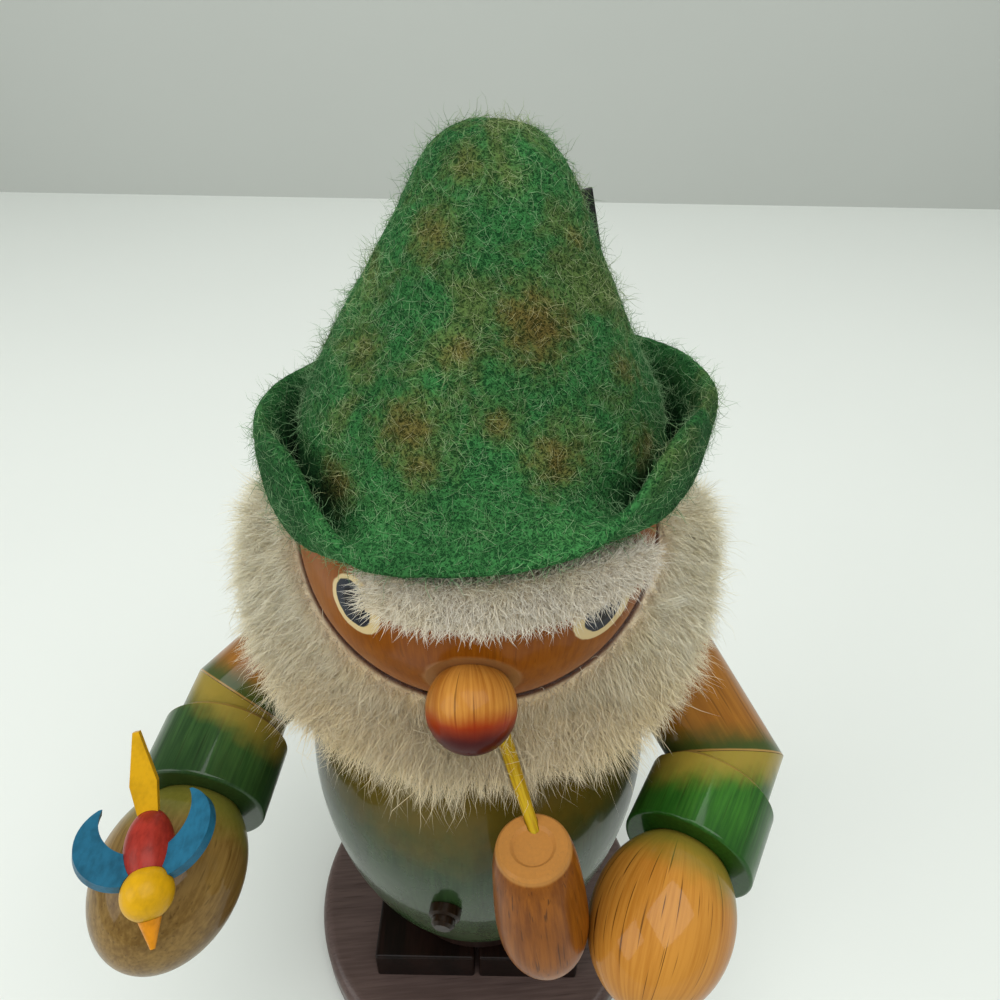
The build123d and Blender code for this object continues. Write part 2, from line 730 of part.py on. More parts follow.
def make_wing(side):
    """A crescent that sweeps out and back from the bird's shoulder."""
    lift = radians(WING_LIFT)
    out = Vector(side * cos(lift), sin(lift), 0)
    frame = Plane(Vector(0, 0, 0), x_dir=out, z_dir=out.cross(Vector(0, 0, 1)))
    root = BIRD_RADIUS - 1.2
    front = ThreePointArc((root, 6.2), (root + 7.0, 3.4), (root + 5.3, -7.4))
    back = ThreePointArc((root + 4.8, -7.5), (root + 3.6, -0.9), (root, 1.2))
    ends = [Line(front @ 1, back @ 0), Line(back @ 1, front @ 0)]
    wing = extrude(frame * make_face([front, back, *ends]), WING_THICKNESS / 2, both=True)
    wing -= ovoid(BIRD_RADIUS + GLUE_GAP / 2, BIRD_HALF_LENGTH + GLUE_GAP / 2)
    wing -= Pos(bird_head_middle()) * Sphere(BIRD_HEAD_RADIUS + GLUE_GAP)
    return largest(bird_plane() * wing)


def make_bird_peg(grow=0.0):
    bird = right_arm.hand_middle + BIRD_STANCE
    way = BIRD_STANCE.normalized()
    return rod(1.5 + grow, bird - way * (BIRD_RADIUS + 8 + grow), bird + way * grow)


def button_plane(side):
    point, normal = torso_spot(BUTTON_LEVEL, BUTTON_TURN + side * BUTTON_SPREAD)
    return Plane(point, z_dir=normal)


def button_pegs(grow=0.0):
    pegs = []
    for side in (-1, 1):
        peg = Pos(0, 0, -BUTTON_PEG_LENGTH / 2) * Cylinder(BUTTON_PEG_DIAMETER / 2 + grow, BUTTON_PEG_LENGTH + 2 * grow)
        pegs.append(button_plane(side) * peg)
    return Part() + pegs


def make_button(side):
    """A turned knob with a stepped rim, on a peg in the torso."""
    radius = BUTTON_DIAMETER / 2
    knob = turned(
        [
            (0, -1.0),
            (radius, -1.0),
            (radius, BUTTON_HEIGHT * 0.45),
            (radius - 0.5, BUTTON_HEIGHT * 0.55),
            (radius - 0.9, BUTTON_HEIGHT * 0.55),
            (radius - 0.9, BUTTON_HEIGHT * 0.85),
            (radius - 1.6, BUTTON_HEIGHT),
            (0, BUTTON_HEIGHT),
        ]
    )
    peg = Pos(0, 0, -BUTTON_PEG_LENGTH / 2) * Cylinder(BUTTON_PEG_DIAMETER / 2, BUTTON_PEG_LENGTH)
    knob = button_plane(side) * knob - torso_blank(GLUE_GAP)
    return knob + button_plane(side) * Pos(0, 0, 1) * peg


right_arm = Arm(-1, RIGHT_ELBOW, RIGHT_FOREARM)
left_arm = Arm(1, left_elbow(), LEFT_FOREARM)
both_arms = (right_arm, left_arm)

export_step(make_base_plate(), "parts/base_plate.step")
export_step(make_shoe(-1), "parts/right_shoe.step")
export_step(make_shoe(1), "parts/left_shoe.step")
export_step(make_shoe_dowels(), "parts/shoe_dowels.step")
export_step(make_leg_dowels(), "parts/leg_dowels.step")
export_step(make_trousers(), "parts/trousers.step")
export_step(make_tray(), "parts/incense_tray.step")
export_step(make_tack(), "parts/tray_tack.step")
export_step(make_torso(both_arms), "parts/torso.step")
export_step(make_head(), "parts/head.step")
export_step(make_nose(), "parts/nose.step")
export_step(make_beard(both_arms), "parts/beard.step")
export_step(make_hair(both_arms), "parts/back_hair.step")
export_step(make_brow(), "parts/brow_fur.step")
export_step(make_hat(), "parts/felt_hat.step")
export_step(make_strip(), "parts/hat_strip.step")
export_step(make_upper_arm(right_arm), "parts/right_upper_arm.step")
export_step(make_upper_arm(left_arm), "parts/left_upper_arm.step")
export_step(make_forearm(right_arm), "parts/right_forearm.step")
export_step(make_forearm(left_arm), "parts/left_forearm.step")
export_step(make_hand(right_arm) - make_bird_peg(GLUE_GAP), "parts/right_hand.step")
export_step(make_hand(left_arm), "parts/left_hand.step")
export_step(make_shoulder_dowel(right_arm), "parts/right_shoulder_dowel.step")
export_step(make_shoulder_dowel(left_arm), "parts/left_shoulder_dowel.step")
export_step(make_elbow_dowel(right_arm), "parts/right_elbow_dowel.step")
export_step(make_elbow_dowel(left_arm), "parts/left_elbow_dowel.step")
export_step(make_stem(), "parts/pipe_stem.step")
export_step(make_bowl(), "parts/pipe_bowl.step")
export_step(make_bird_body(), "parts/bird_body.step")
export_step(make_bird_head(), "parts/bird_head.step")
export_step(make_beak(), "parts/bird_beak.step")
export_step(make_tail(), "parts/bird_tail.step")
export_step(make_wing(-1), "parts/bird_right_wing.step")
export_step(make_wing(1), "parts/bird_left_wing.step")
export_step(make_bird_peg(), "parts/bird_peg.step")
export_step(make_button(-1), "parts/right_button.step")
export_step(make_button(1), "parts/left_button.step")
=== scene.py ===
import logging
import math
from dataclasses import dataclass
from enum import Enum
from functools import cache
from typing import Any, Callable, Sequence

import bpy
import numpy as np
from mathutils import Matrix, Vector, kdtree


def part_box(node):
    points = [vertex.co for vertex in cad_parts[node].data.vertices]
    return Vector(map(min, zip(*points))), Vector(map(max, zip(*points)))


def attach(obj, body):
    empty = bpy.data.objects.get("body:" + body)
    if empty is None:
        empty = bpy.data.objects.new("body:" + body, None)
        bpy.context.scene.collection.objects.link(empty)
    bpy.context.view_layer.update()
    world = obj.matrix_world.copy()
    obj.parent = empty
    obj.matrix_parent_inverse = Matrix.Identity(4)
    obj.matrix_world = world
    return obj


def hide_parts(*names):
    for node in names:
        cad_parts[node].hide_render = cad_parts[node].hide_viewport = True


# A turned wooden incense smoker with a fur beard and a felt hat. Sizes in the classes are millimetres
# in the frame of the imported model; meshes and shader distances are metres.

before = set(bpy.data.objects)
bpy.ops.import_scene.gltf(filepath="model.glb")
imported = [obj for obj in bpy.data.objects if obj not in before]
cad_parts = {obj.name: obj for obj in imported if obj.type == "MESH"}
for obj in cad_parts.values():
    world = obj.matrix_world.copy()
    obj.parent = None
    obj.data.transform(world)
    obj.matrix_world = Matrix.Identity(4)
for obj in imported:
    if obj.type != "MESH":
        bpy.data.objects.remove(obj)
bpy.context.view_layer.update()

LOG = logging.getLogger("smoker")
FIGURE = "figure"
TINY = 1e-9

# In metres: a millimetre, the gap across which points are welded, and the depth of fine surface relief
MM = 0.001
WELD = 1e-6
FINE_RELIEF = 0.0002

Colour = tuple[float, float, float]
Point = tuple[float, float, float]
Socket = bpy.types.NodeSocket

UP: Point = (0.0, 0.0, 1.0)
FLAT: Point = (1.0, 1.0, 0.0)
HEAD_CENTRE = np.array([0.0, 0.0, 145.584])
HEAD_RADIUS = 33.0
FACE_NORMAL = np.array([0.0, -0.7314, 0.6820])
CHIN_WAY = np.array([0.0, -0.682, -0.7314])
NOSE_CENTRE: Point = (0.0, -35.33, 134.45)


class Side(Enum):
    """The figure's own right and left; the right is on the -X side."""

    RIGHT = "right"
    LEFT = "left"


# Each arm's shoulder, elbow and the way from its elbow to its hand
ARMS: dict[Side, tuple[Point, Point, Point]] = {
    Side.RIGHT: ((-41.84, 0.0, 105.79), (-52.44, -4.0, 97.09), (-0.0859, -0.9916, -0.0969)),
    Side.LEFT: ((41.84, 0.0, 105.79), (54.54, -12.0, 89.79), (-0.4970, -0.8634, -0.0861)),
}


class SocketKind(Enum):
    """Socket types of the shared shader groups."""

    COLOUR = "NodeSocketColor"
    VALUE = "NodeSocketFloat"
    VECTOR = "NodeSocketVector"


# Shader wiring


class Wiring:
    """Adds shader nodes to one node tree and joins them."""

    def __init__(self, tree: bpy.types.NodeTree) -> None:
        """Keeps the tree that the nodes go into."""
        self.tree = tree

    def node(self, kind: str, feeds: dict[Any, Any] | None = None, **settings: Any) -> bpy.types.Node:
        """Adds one node.

        Args:
            kind: The node's type without its ShaderNode prefix.
            feeds: Input names or numbers, each with a socket to join or a fixed value.
            settings: Properties of the node.

        Returns:
            The new node.
        """
        made = self.tree.nodes.new("ShaderNode" + kind)
        for key, value in settings.items():
            setattr(made, key, value)
        for key, value in (feeds or {}).items():
            self.feed(made.inputs[key], value)
        return made

    def feed(self, socket: Socket, value: Any) -> None:
        """Joins a socket to another one, or sets its fixed value.

        Args:
            socket: The input socket.
            value: A socket to join, or the fixed value.
        """
        if isinstance(value, Socket):
            self.tree.links.new(value, socket)
        elif socket.type == "RGBA":
            socket.default_value = (*value[:3], 1.0)
        else:
            socket.default_value = value

    def noise(
        self, vector: Socket, scale: Any, detail: float = 2.0, rough: float = 0.5, bend: float = 0.0
    ) -> Socket:
        """A noise value of about 0.25 to 0.75, at a scale in cells a metre."""
        feeds = {"Vector": vector, "Scale": scale, "Detail": detail, "Roughness": rough, "Distortion": bend}
        return self.node("TexNoise", feeds).outputs[0]

    def math(self, rule: str, a: Any, b: Any = 0.0, clamp: bool = False) -> Socket:
        """One step of arithmetic."""
        return self.node("Math", {0: a, 1: b}, operation=rule, use_clamp=clamp).outputs[0]

    def vector(self, rule: str, a: Any, b: Any = (0.0, 0.0, 0.0)) -> Socket:
        """One step of vector arithmetic, as a vector, or as a number where the rule gives one."""
        made = self.node("VectorMath", {0: a, 1: b}, operation=rule)
        return made.outputs[1 if rule in ("DOT_PRODUCT", "LENGTH", "DISTANCE") else 0]

    def mix(self, share: Any, a: Any, b: Any, blend: str = "MIX") -> Socket:
        """A colour between a and b."""
        return self.node("Mix", {0: share, 6: a, 7: b}, data_type="RGBA", blend_type=blend).outputs[2]

    def span(self, value: Any, low: Any, high: Any, to_low: float = 0.0, to_high: float = 1.0) -> Socket:
        """A smooth ramp of a value between two limits."""
        feeds = {"Value": value, "From Min": low, "From Max": high, "To Min": to_low, "To Max": to_high}
        return self.node("MapRange", feeds, interpolation_type="SMOOTHSTEP").outputs[0]

    def group(self, tree: bpy.types.NodeTree, feeds: dict[str, Any]) -> bpy.types.Node:
        """Places a shared group with its own values.

        Args:
            tree: The group.
            feeds: Input names, each with a socket to join or a fixed value.

        Returns:
            The new node.
        """
        made = self.node("Group")
        made.node_tree = tree
        for key, value in feeds.items():
            self.feed(made.inputs[key], value)
        return made

    def height(self, vector: Socket) -> Socket:
        """A vector's Z."""
        return self.node("SeparateXYZ", {0: vector}).outputs[2]

    def bump(self, surface: bpy.types.Node, strength: float, relief: float, height: Socket) -> None:
        """Lets a height between 0 and 1 bend a shader's normal, as a relief in metres."""
        made = self.node("Bump", {"Strength": strength, "Distance": relief, "Height": height})
        self.feed(surface.inputs["Normal"], made.outputs[0])


class Effects:
    """The shader groups that more than one finish uses, each built once."""

    @staticmethod
    def _start(
        name: str, inputs: dict[str, SocketKind], outputs: dict[str, SocketKind]
    ) -> tuple[bpy.types.NodeTree, Wiring, Any, Any]:
        """Starts a group.

        Args:
            name: The group's name.
            inputs: Its input sockets.
            outputs: Its output sockets.

        Returns:
            The tree, its wiring, its input sockets and its output sockets.
        """
        tree = bpy.data.node_groups.new(name, "ShaderNodeTree")
        for label, kind in inputs.items():
            tree.interface.new_socket(name=label, in_out="INPUT", socket_type=kind.value)
        for label, kind in outputs.items():
            tree.interface.new_socket(name=label, in_out="OUTPUT", socket_type=kind.value)
        entry = tree.nodes.new("NodeGroupInput")
        leave = tree.nodes.new("NodeGroupOutput")
        return tree, Wiring(tree), entry.outputs, leave.inputs

    @classmethod
    @cache
    def beech_grain(cls) -> bpy.types.NodeTree:
        """Streaks and short dark pores along the vector's Z.

        Returns:
            The group.
        """
        tree, w, entry, leave = cls._start(
            "beech_grain",
            {
                "Vector": SocketKind.VECTOR,
                "Light": SocketKind.COLOUR,
                "Dark": SocketKind.COLOUR,
                "Pores": SocketKind.VALUE,
            },
            {"Color": SocketKind.COLOUR, "Height": SocketKind.VALUE},
        )
        streaks = w.noise(w.vector("MULTIPLY", entry["Vector"], (1.0, 1.0, 0.05)), 1400.0, 4.0, 0.6)
        broad = w.noise(w.vector("MULTIPLY", entry["Vector"], (1.0, 1.0, 0.16)), 130.0, 2.0, 0.5, 0.6)
        dashes = w.noise(w.vector("MULTIPLY", entry["Vector"], (1.0, 1.0, 0.032)), 2100.0, 1.0, 0.4)
        pores = w.span(dashes, 0.65, 0.72)
        tone = w.math("ADD", w.math("MULTIPLY", streaks, 0.55), w.math("MULTIPLY", broad, 0.45))
        tone = w.span(tone, 0.36, 0.64)
        colour = w.mix(tone, entry["Light"], entry["Dark"])
        deep = w.mix(0.75, entry["Dark"], (0.012, 0.005, 0.002))
        share = w.math("MULTIPLY", pores, entry["Pores"], True)
        w.feed(leave["Color"], w.mix(share, colour, deep))
        w.feed(leave["Height"], w.math("SUBTRACT", w.math("MULTIPLY", streaks, 0.35), share))
        return tree

    @classmethod
    @cache
    def airbrush(cls) -> bpy.types.NodeTree:
        """A sprayed colour that fades in along a distance, with an uneven edge.

        Returns:
            The group.
        """
        value = SocketKind.VALUE
        tree, w, entry, leave = cls._start(
            "airbrush",
            {
                "Color": SocketKind.COLOUR,
                "Spray": SocketKind.COLOUR,
                "Vector": SocketKind.VECTOR,
                "Distance": value,
                "Start": value,
                "End": value,
                "Strength": value,
            },
            {"Color": SocketKind.COLOUR},
        )
        width = w.math("MULTIPLY", w.math("SUBTRACT", entry["End"], entry["Start"]), 0.55)
        mist = w.math("MULTIPLY", w.math("SUBTRACT", w.noise(entry["Vector"], 260.0, 3.0), 0.5), width)
        share = w.span(w.math("ADD", entry["Distance"], mist), entry["Start"], entry["End"])
        share = w.math("MULTIPLY", share, entry["Strength"])
        w.feed(leave["Color"], w.mix(share, entry["Color"], entry["Spray"]))
        return tree

    @classmethod
    @cache
    def worn_band(cls) -> bpy.types.NodeTree:
        """A thin ring at one distance, where the colour has rubbed off an edge.

        Returns:
            The group.
        """
        value = SocketKind.VALUE
        tree, w, entry, leave = cls._start(
            "worn_band",
            {
                "Color": SocketKind.COLOUR,
                "Bare": SocketKind.COLOUR,
                "Vector": SocketKind.VECTOR,
                "Distance": value,
                "Place": value,
                "Width": value,
            },
            {"Color": SocketKind.COLOUR},
        )
        away = w.math("ABSOLUTE", w.math("SUBTRACT", entry["Distance"], entry["Place"]))
        rough = w.math("MULTIPLY", w.noise(entry["Vector"], 320.0, 3.0), 1.7)
        share = w.span(w.math("DIVIDE", away, w.math("MULTIPLY", entry["Width"], rough)), 1.0, 0.25)
        w.feed(leave["Color"], w.mix(w.math("MULTIPLY", share, 0.85), entry["Color"], entry["Bare"]))
        return tree

    @classmethod
    @cache
    def painted_spot(cls) -> bpy.types.NodeTree:
        """A brushed round spot in a frame whose middle is the spot's and whose unit is its half size.

        Returns:
            The group.
        """
        tree, w, entry, leave = cls._start(
            "painted_spot",
            {
                "Color": SocketKind.COLOUR,
                "Paint": SocketKind.COLOUR,
                "Local": SocketKind.VECTOR,
                "Soft": SocketKind.VALUE,
                "Strength": SocketKind.VALUE,
            },
            {"Color": SocketKind.COLOUR},
        )
        flat = w.vector("MULTIPLY", entry["Local"], FLAT)
        wobble = w.math("MULTIPLY", w.math("SUBTRACT", w.noise(entry["Local"], 2.2, 2.0), 0.5), 0.12)
        reach = w.math("ADD", w.vector("LENGTH", flat), wobble)
        share = w.span(reach, 1.0, w.math("SUBTRACT", 1.0, entry["Soft"]))
        near = w.math("LESS_THAN", w.math("ABSOLUTE", w.height(entry["Local"])), 6.0)
        share = w.math("MULTIPLY", w.math("MULTIPLY", share, near), entry["Strength"])
        w.feed(leave["Color"], w.mix(share, entry["Color"], entry["Paint"]))
        return tree

    @classmethod
    @cache
    def stain(cls) -> bpy.types.NodeTree:
        """Adds one round stain to a mask.

        Returns:
            The group.
        """
        tree, w, entry, leave = cls._start(
            "stain",
            {
                "Mask": SocketKind.VALUE,
                "Vector": SocketKind.VECTOR,
                "Centre": SocketKind.VECTOR,
                "Radius": SocketKind.VALUE,
                "Depth": SocketKind.VALUE,
            },
            {"Mask": SocketKind.VALUE},
        )
        reach = w.math("DIVIDE", w.vector("DISTANCE", entry["Vector"], entry["Centre"]), entry["Radius"])
        ragged = w.math("MULTIPLY", w.math("SUBTRACT", w.noise(entry["Vector"], 420.0, 4.0, 0.65), 0.5), 1.5)
        share = w.math("MULTIPLY", w.span(w.math("ADD", reach, ragged), 1.25, 0.0), entry["Depth"])
        w.feed(leave["Mask"], w.math("MAXIMUM", entry["Mask"], share))
        return tree

    @classmethod
    @cache
    def fibre_web(cls) -> bpy.types.NodeTree:
        """A web of fine crossing fibres: 1 on a fibre and 0 in the gaps.

        Returns:
            The group.
        """
        tree, w, entry, leave = cls._start(
            "fibre_web",
            {"Vector": SocketKind.VECTOR, "Scale": SocketKind.VALUE},
            {"Web": SocketKind.VALUE},
        )
        web = None
        for step, (grow, bend) in enumerate(((1.0, 1.6), (1.45, 1.1), (0.7, 2.0))):
            moved = w.vector("ADD", entry["Vector"], (0.37 * step, 0.91 * step, 0.53 * step))
            crossing = w.noise(moved, w.math("MULTIPLY", entry["Scale"], grow), 1.0, bend=bend)
            away = w.math("ABSOLUTE", w.math("SUBTRACT", crossing, 0.5))
            line = w.span(away, 0.085, 0.0)
            web = line if web is None else w.math("MAXIMUM", web, line)
        w.feed(leave["Web"], web)
        return tree

    @classmethod
    @cache
    def brushed_paint(cls) -> bpy.types.NodeTree:
        """Hand-brushed paint: uneven depth of colour, and a height for the brush marks.

        Returns:
            The group.
        """
        tree, w, entry, leave = cls._start(
            "brushed_paint",
            {"Vector": SocketKind.VECTOR, "Paint": SocketKind.COLOUR, "Deep": SocketKind.COLOUR},
            {"Color": SocketKind.COLOUR, "Height": SocketKind.VALUE},
        )
        clouds = w.noise(entry["Vector"], 240.0, 4.0, 0.6)
        marks = w.noise(w.vector("MULTIPLY", entry["Vector"], (1.0, 0.35, 1.0)), 1500.0, 2.0)
        share = w.span(w.math("ADD", w.math("MULTIPLY", clouds, 0.7), w.math("MULTIPLY", marks, 0.3)), 0.38, 0.68)
        w.feed(leave["Color"], w.mix(share, entry["Paint"], entry["Deep"]))
        w.feed(leave["Height"], marks)
        return tree


# Finishes


@dataclass(frozen=True)
class Spray:
    """A sprayed colour along a finish's own axis, or along another one."""

    colour: Colour
    start: float
    end: float
    strength: float = 1.0
    axis: Point | None = None
    origin: Point | None = None


@dataclass(frozen=True)
class Band:
    """A rubbed edge at one distance along a finish's axis."""

    colour: Colour
    place: float
    width: float


@dataclass(frozen=True)
class Spot:
    """A brushed spot on a surface."""

    colour: Colour
    centre: Point
    half_width: float
    half_height: float
    turn: float = 0.0
    soft: float = 0.06
    strength: float = 1.0


def scaled(values: Sequence[float]) -> tuple[float, ...]:
    """Millimetres as metres."""
    return tuple(float(v) * MM for v in values)


def start_material(name: str, **fixed: Any) -> tuple[bpy.types.Material, Wiring, bpy.types.Node, Socket]:
    """Starts a material.

    Args:
        name: The material's name.
        fixed: Fixed values of the surface shader's inputs, with _ for spaces.

    Returns:
        The material, its wiring, its surface shader and the object coordinates.
    """
    material = bpy.data.materials.new(name)
    material.use_nodes = True
    material.node_tree.nodes.clear()
    w = Wiring(material.node_tree)
    surface = w.node("BsdfPrincipled")
    for key, value in fixed.items():
        w.feed(surface.inputs[key.replace("_", " ")], value)
    w.node("OutputMaterial", {"Surface": surface.outputs[0]})
    return material, w, surface, w.node("TexCoord").outputs["Object"]


def along(w: Wiring, place: Socket, axis: Point, origin: Point) -> Socket:
    """The object coordinates moved to an origin and turned so that an axis becomes Z.

    Args:
        w: The material's wiring.
        place: Its object coordinates.
        axis: What becomes Z.
        origin: What becomes the origin, in millimetres.

    Returns:
        The new coordinates, in metres.
    """
    turn = Vector(UP).rotation_difference(Vector(axis).normalized()).to_euler()
    feeds = {"Vector": place, "Location": scaled(origin), "Rotation": turn}
    return w.node("Mapping", feeds, vector_type="TEXTURE").outputs[0]


@dataclass(frozen=True)
class Finish:
    """What a piece is dressed with."""

    name: str

    def build(self) -> bpy.types.Material:
        """Makes the material."""
        raise NotImplementedError


@dataclass(frozen=True)
class Lacquer(Finish):
    """Stained beech under clear lacquer, with sprayed shades, rubbed edges and painted spots.

    The grain runs along the axis. With a meridian, which is a ball's radius, it follows the ball's surface from pole
    to pole.
    """

    light: Colour
    dark: Colour
    axis: Point = UP
    origin: Point = (0.0, 0.0, 0.0)
    pores: float = 0.5
    roughness: tuple[float, float] = (0.28, 0.42)
    coat: float = 0.5
    coat_roughness: float = 0.07
    sprays: tuple[Spray, ...] = ()
    bands: tuple[Band, ...] = ()
    spots: tuple[Spot, ...] = ()
    rings: float = 0.0
    meridian: float = 0.0
    relief: float = 0.12

    def build(self) -> bpy.types.Material:
        """Makes the material.

        Returns:
            The new material.
        """
        material, w, surface, place = start_material(
            self.name, Specular_IOR_Level=0.06, Coat_Weight=self.coat, Coat_Roughness=self.coat_roughness, Coat_IOR=1.5
        )
        local = along(w, place, self.axis, self.origin)
        figure = local
        if self.meridian:
            flat = w.vector("NORMALIZE", w.vector("MULTIPLY", local, FLAT))
            flat = w.vector("MULTIPLY", flat, (self.meridian * MM, self.meridian * MM, 0.0))
            figure = w.vector("ADD", flat, w.vector("MULTIPLY", local, UP))
        feeds = {"Vector": figure, "Light": self.light, "Dark": self.dark, "Pores": self.pores}
        grain = w.group(Effects.beech_grain(), feeds)
        colour = grain.outputs["Color"]
        if self.rings:
            flat = w.vector("LENGTH", w.vector("MULTIPLY", local, FLAT))
            wave = w.math("SINE", w.math("MULTIPLY", flat, 2.0 * math.pi / (self.rings * MM)))
            colour = w.mix(w.span(wave, -0.2, 1.0, 0.0, 0.28), colour, self.dark)
        for spray in self.sprays:
            here = local if spray.axis is None else along(w, place, spray.axis, spray.origin or self.origin)
            feeds = {"Color": colour, "Spray": spray.colour, "Vector": place, "Distance": w.height(here)}
            feeds |= {"Start": spray.start * MM, "End": spray.end * MM, "Strength": spray.strength}
            colour = w.group(Effects.airbrush(), feeds).outputs["Color"]
        for band in self.bands:
            feeds = {"Color": colour, "Bare": band.colour, "Vector": place, "Distance": w.height(local)}
            feeds |= {"Place": band.place * MM, "Width": band.width * MM}
            colour = w.group(Effects.worn_band(), feeds).outputs["Color"]
        for spot in self.spots:
            colour = self._paint(w, place, colour, spot)
        w.feed(surface.inputs["Base Color"], colour)
        smear = w.noise(place, 90.0, 4.0, 0.6)
        w.feed(surface.inputs["Roughness"], w.span(smear, 0.3, 0.7, *self.roughness))
        w.bump(surface, self.relief, FINE_RELIEF, grain.outputs["Height"])
        return material

    def _paint(self, w: Wiring, place: Socket, colour: Socket, spot: Spot) -> Socket:
        """Adds one painted spot on the head's ball.

        Args:
            w: The material's wiring.
            place: Its object coordinates.
            colour: The colour so far.
            spot: What to paint.

        Returns:
            The colour with the spot.
        """
        outward = Vector(np.array(spot.centre) - HEAD_CENTRE).normalized()
        across = Vector(UP).cross(outward).normalized()
        upward = outward.cross(across)
        turn = Matrix((across, upward, outward)).transposed() @ Matrix.Rotation(math.radians(spot.turn), 3, "Z")
        size = scaled((spot.half_width, spot.half_height, 1.0))
        feeds = {"Vector": place, "Location": scaled(spot.centre), "Rotation": turn.to_euler(), "Scale": size}
        local = w.node("Mapping", feeds, vector_type="TEXTURE").outputs[0]
        feeds = {"Color": colour, "Paint": spot.colour, "Local": local, "Soft": spot.soft, "Strength": spot.strength}
        return w.group(Effects.painted_spot(), feeds).outputs["Color"]


@dataclass(frozen=True)
class BrushedPaint(Finish):
    """Opaque paint on small wooden pieces."""

    paint: Colour
    deep: Colour
    roughness: float = 0.38

    def build(self) -> bpy.types.Material:
        """Makes the material.

        Returns:
            The new material.
        """
        material, w, surface, place = start_material(
            self.name, Roughness=self.roughness, Specular_IOR_Level=0.12, Coat_Weight=0.08, Coat_Roughness=0.2
        )
        coat = w.group(Effects.brushed_paint(), {"Vector": place, "Paint": self.paint, "Deep": self.deep})
        w.feed(surface.inputs["Base Color"], coat.outputs["Color"])
        w.bump(surface, 0.25, FINE_RELIEF, coat.outputs["Height"])
        return material


@dataclass(frozen=True)
class Tin(Finish):
    """Dull tinned sheet with heat marks."""

    bright: Colour
    dull: Colour

    def build(self) -> bpy.types.Material:
        """Makes the material.

        Returns:
            The new material.
        """
        material, w, surface, place = start_material(self.name, Metallic=1.0)
        clouds = w.noise(place, 210.0, 4.0, 0.65)
        w.feed(surface.inputs["Base Color"], w.mix(w.span(clouds, 0.4, 0.65), self.bright, self.dull))
        w.feed(surface.inputs["Roughness"], w.span(w.noise(place, 700.0, 2.0), 0.3, 0.7, 0.28, 0.5))
        return material


@dataclass(frozen=True)
class Quill(Finish):
    """A yellow, slightly see-through feather quill."""

    pale: Colour
    deep: Colour
    axis: Point
    origin: Point

    def build(self) -> bpy.types.Material:
        """Makes the material.

        Returns:
            The new material.
        """
        material, w, surface, place = start_material(
            self.name, Roughness=0.36, Specular_IOR_Level=0.1, Subsurface_Weight=0.25, Subsurface_Scale=0.001
        )
        local = along(w, place, self.axis, self.origin)
        streaks = w.noise(w.vector("MULTIPLY", local, (1.0, 1.0, 0.06)), 1800.0, 3.0)
        w.feed(surface.inputs["Base Color"], w.mix(w.span(streaks, 0.38, 0.62), self.pale, self.deep))
        w.bump(surface, 0.3, FINE_RELIEF, streaks)
        return material


@dataclass(frozen=True)
class BlackCard(Finish):
    """Matt black card with rubbed specks."""

    black: Colour
    rubbed: Colour

    def build(self) -> bpy.types.Material:
        """Makes the material.

        Returns:
            The new material.
        """
        material, w, surface, place = start_material(self.name, Roughness=0.8)
        specks = w.span(w.noise(place, 900.0, 4.0, 0.7), 0.55, 0.75)
        w.feed(surface.inputs["Base Color"], w.mix(specks, self.black, self.rubbed))
        w.bump(surface, 0.2, FINE_RELIEF, w.noise(place, 2500.0, 2.0))
        return material


@dataclass(frozen=True)
class Felt(Finish):
    """Green wool felt with brown and tan stains on the crown, and painted shade in the brim's fold."""

    pit: Colour
    fibre: Colour
    stain_pit: Colour
    stain_fibre: Colour
    stains: tuple[tuple[Point, float, float], ...]
    loose: bool = False
    # The painted shade's colour in the brim's fold
    fold_shade: Colour = (0.002, 0.012, 0.004)
    crown_foot: tuple[float, float] = (164.0, 180.0)

    def build(self) -> bpy.types.Material:
        """Makes the material.

        Returns:
            The new material.
        """
        material, w, surface, place = start_material(self.name, Roughness=0.95, Specular_IOR_Level=0.1)
        mask: Any = 0.0
        for centre, radius, depth in self.stains:
            feeds = {"Mask": mask, "Vector": place, "Centre": scaled(centre), "Radius": radius * MM, "Depth": depth}
            mask = w.group(Effects.stain(), feeds).outputs["Mask"]
        crown = w.span(w.height(place), *scaled(self.crown_foot))
        clouds = w.math("MULTIPLY", w.span(w.noise(place, 95.0, 4.0, 0.6, 0.5), 0.44, 0.66), crown)
        mask = w.math("MAXIMUM", mask, w.math("MULTIPLY", clouds, 0.42))
        if self.loose:
            web = w.span(w.noise(place, 500.0, 2.0), 0.3, 0.6)
        else:
            web = w.group(Effects.fibre_web(), {"Vector": place, "Scale": 760.0}).outputs["Web"]
        green = w.mix(web, self.pit, self.fibre)
        brown = w.mix(web, self.stain_pit, self.stain_fibre)
        colour = w.mix(mask, green, brown)
        if not self.loose:
            # Painted shade: the felt darkens in the brim's fold, and a little round the brim's rim, as the fold
            # attribute says
            fold = w.node("Attribute", attribute_name="fold").outputs["Fac"]
            colour = w.mix(w.span(fold, 0.0, 1.0, 0.0, 0.85), colour, self.fold_shade)
            fuzz = w.math("ADD", web, w.math("MULTIPLY", w.noise(place, 2600.0, 3.0, 0.7), 0.8))
            w.bump(surface, 0.75, 2.0 * FINE_RELIEF, fuzz)
        shade = w.span(w.noise(place, 48.0, 3.0), 0.3, 0.7, 0.72, 1.15)
        grey = w.node("CombineXYZ", {0: shade, 1: shade, 2: shade}).outputs[0]
        w.feed(surface.inputs["Base Color"], w.vector("MULTIPLY", colour, grey))
        return material


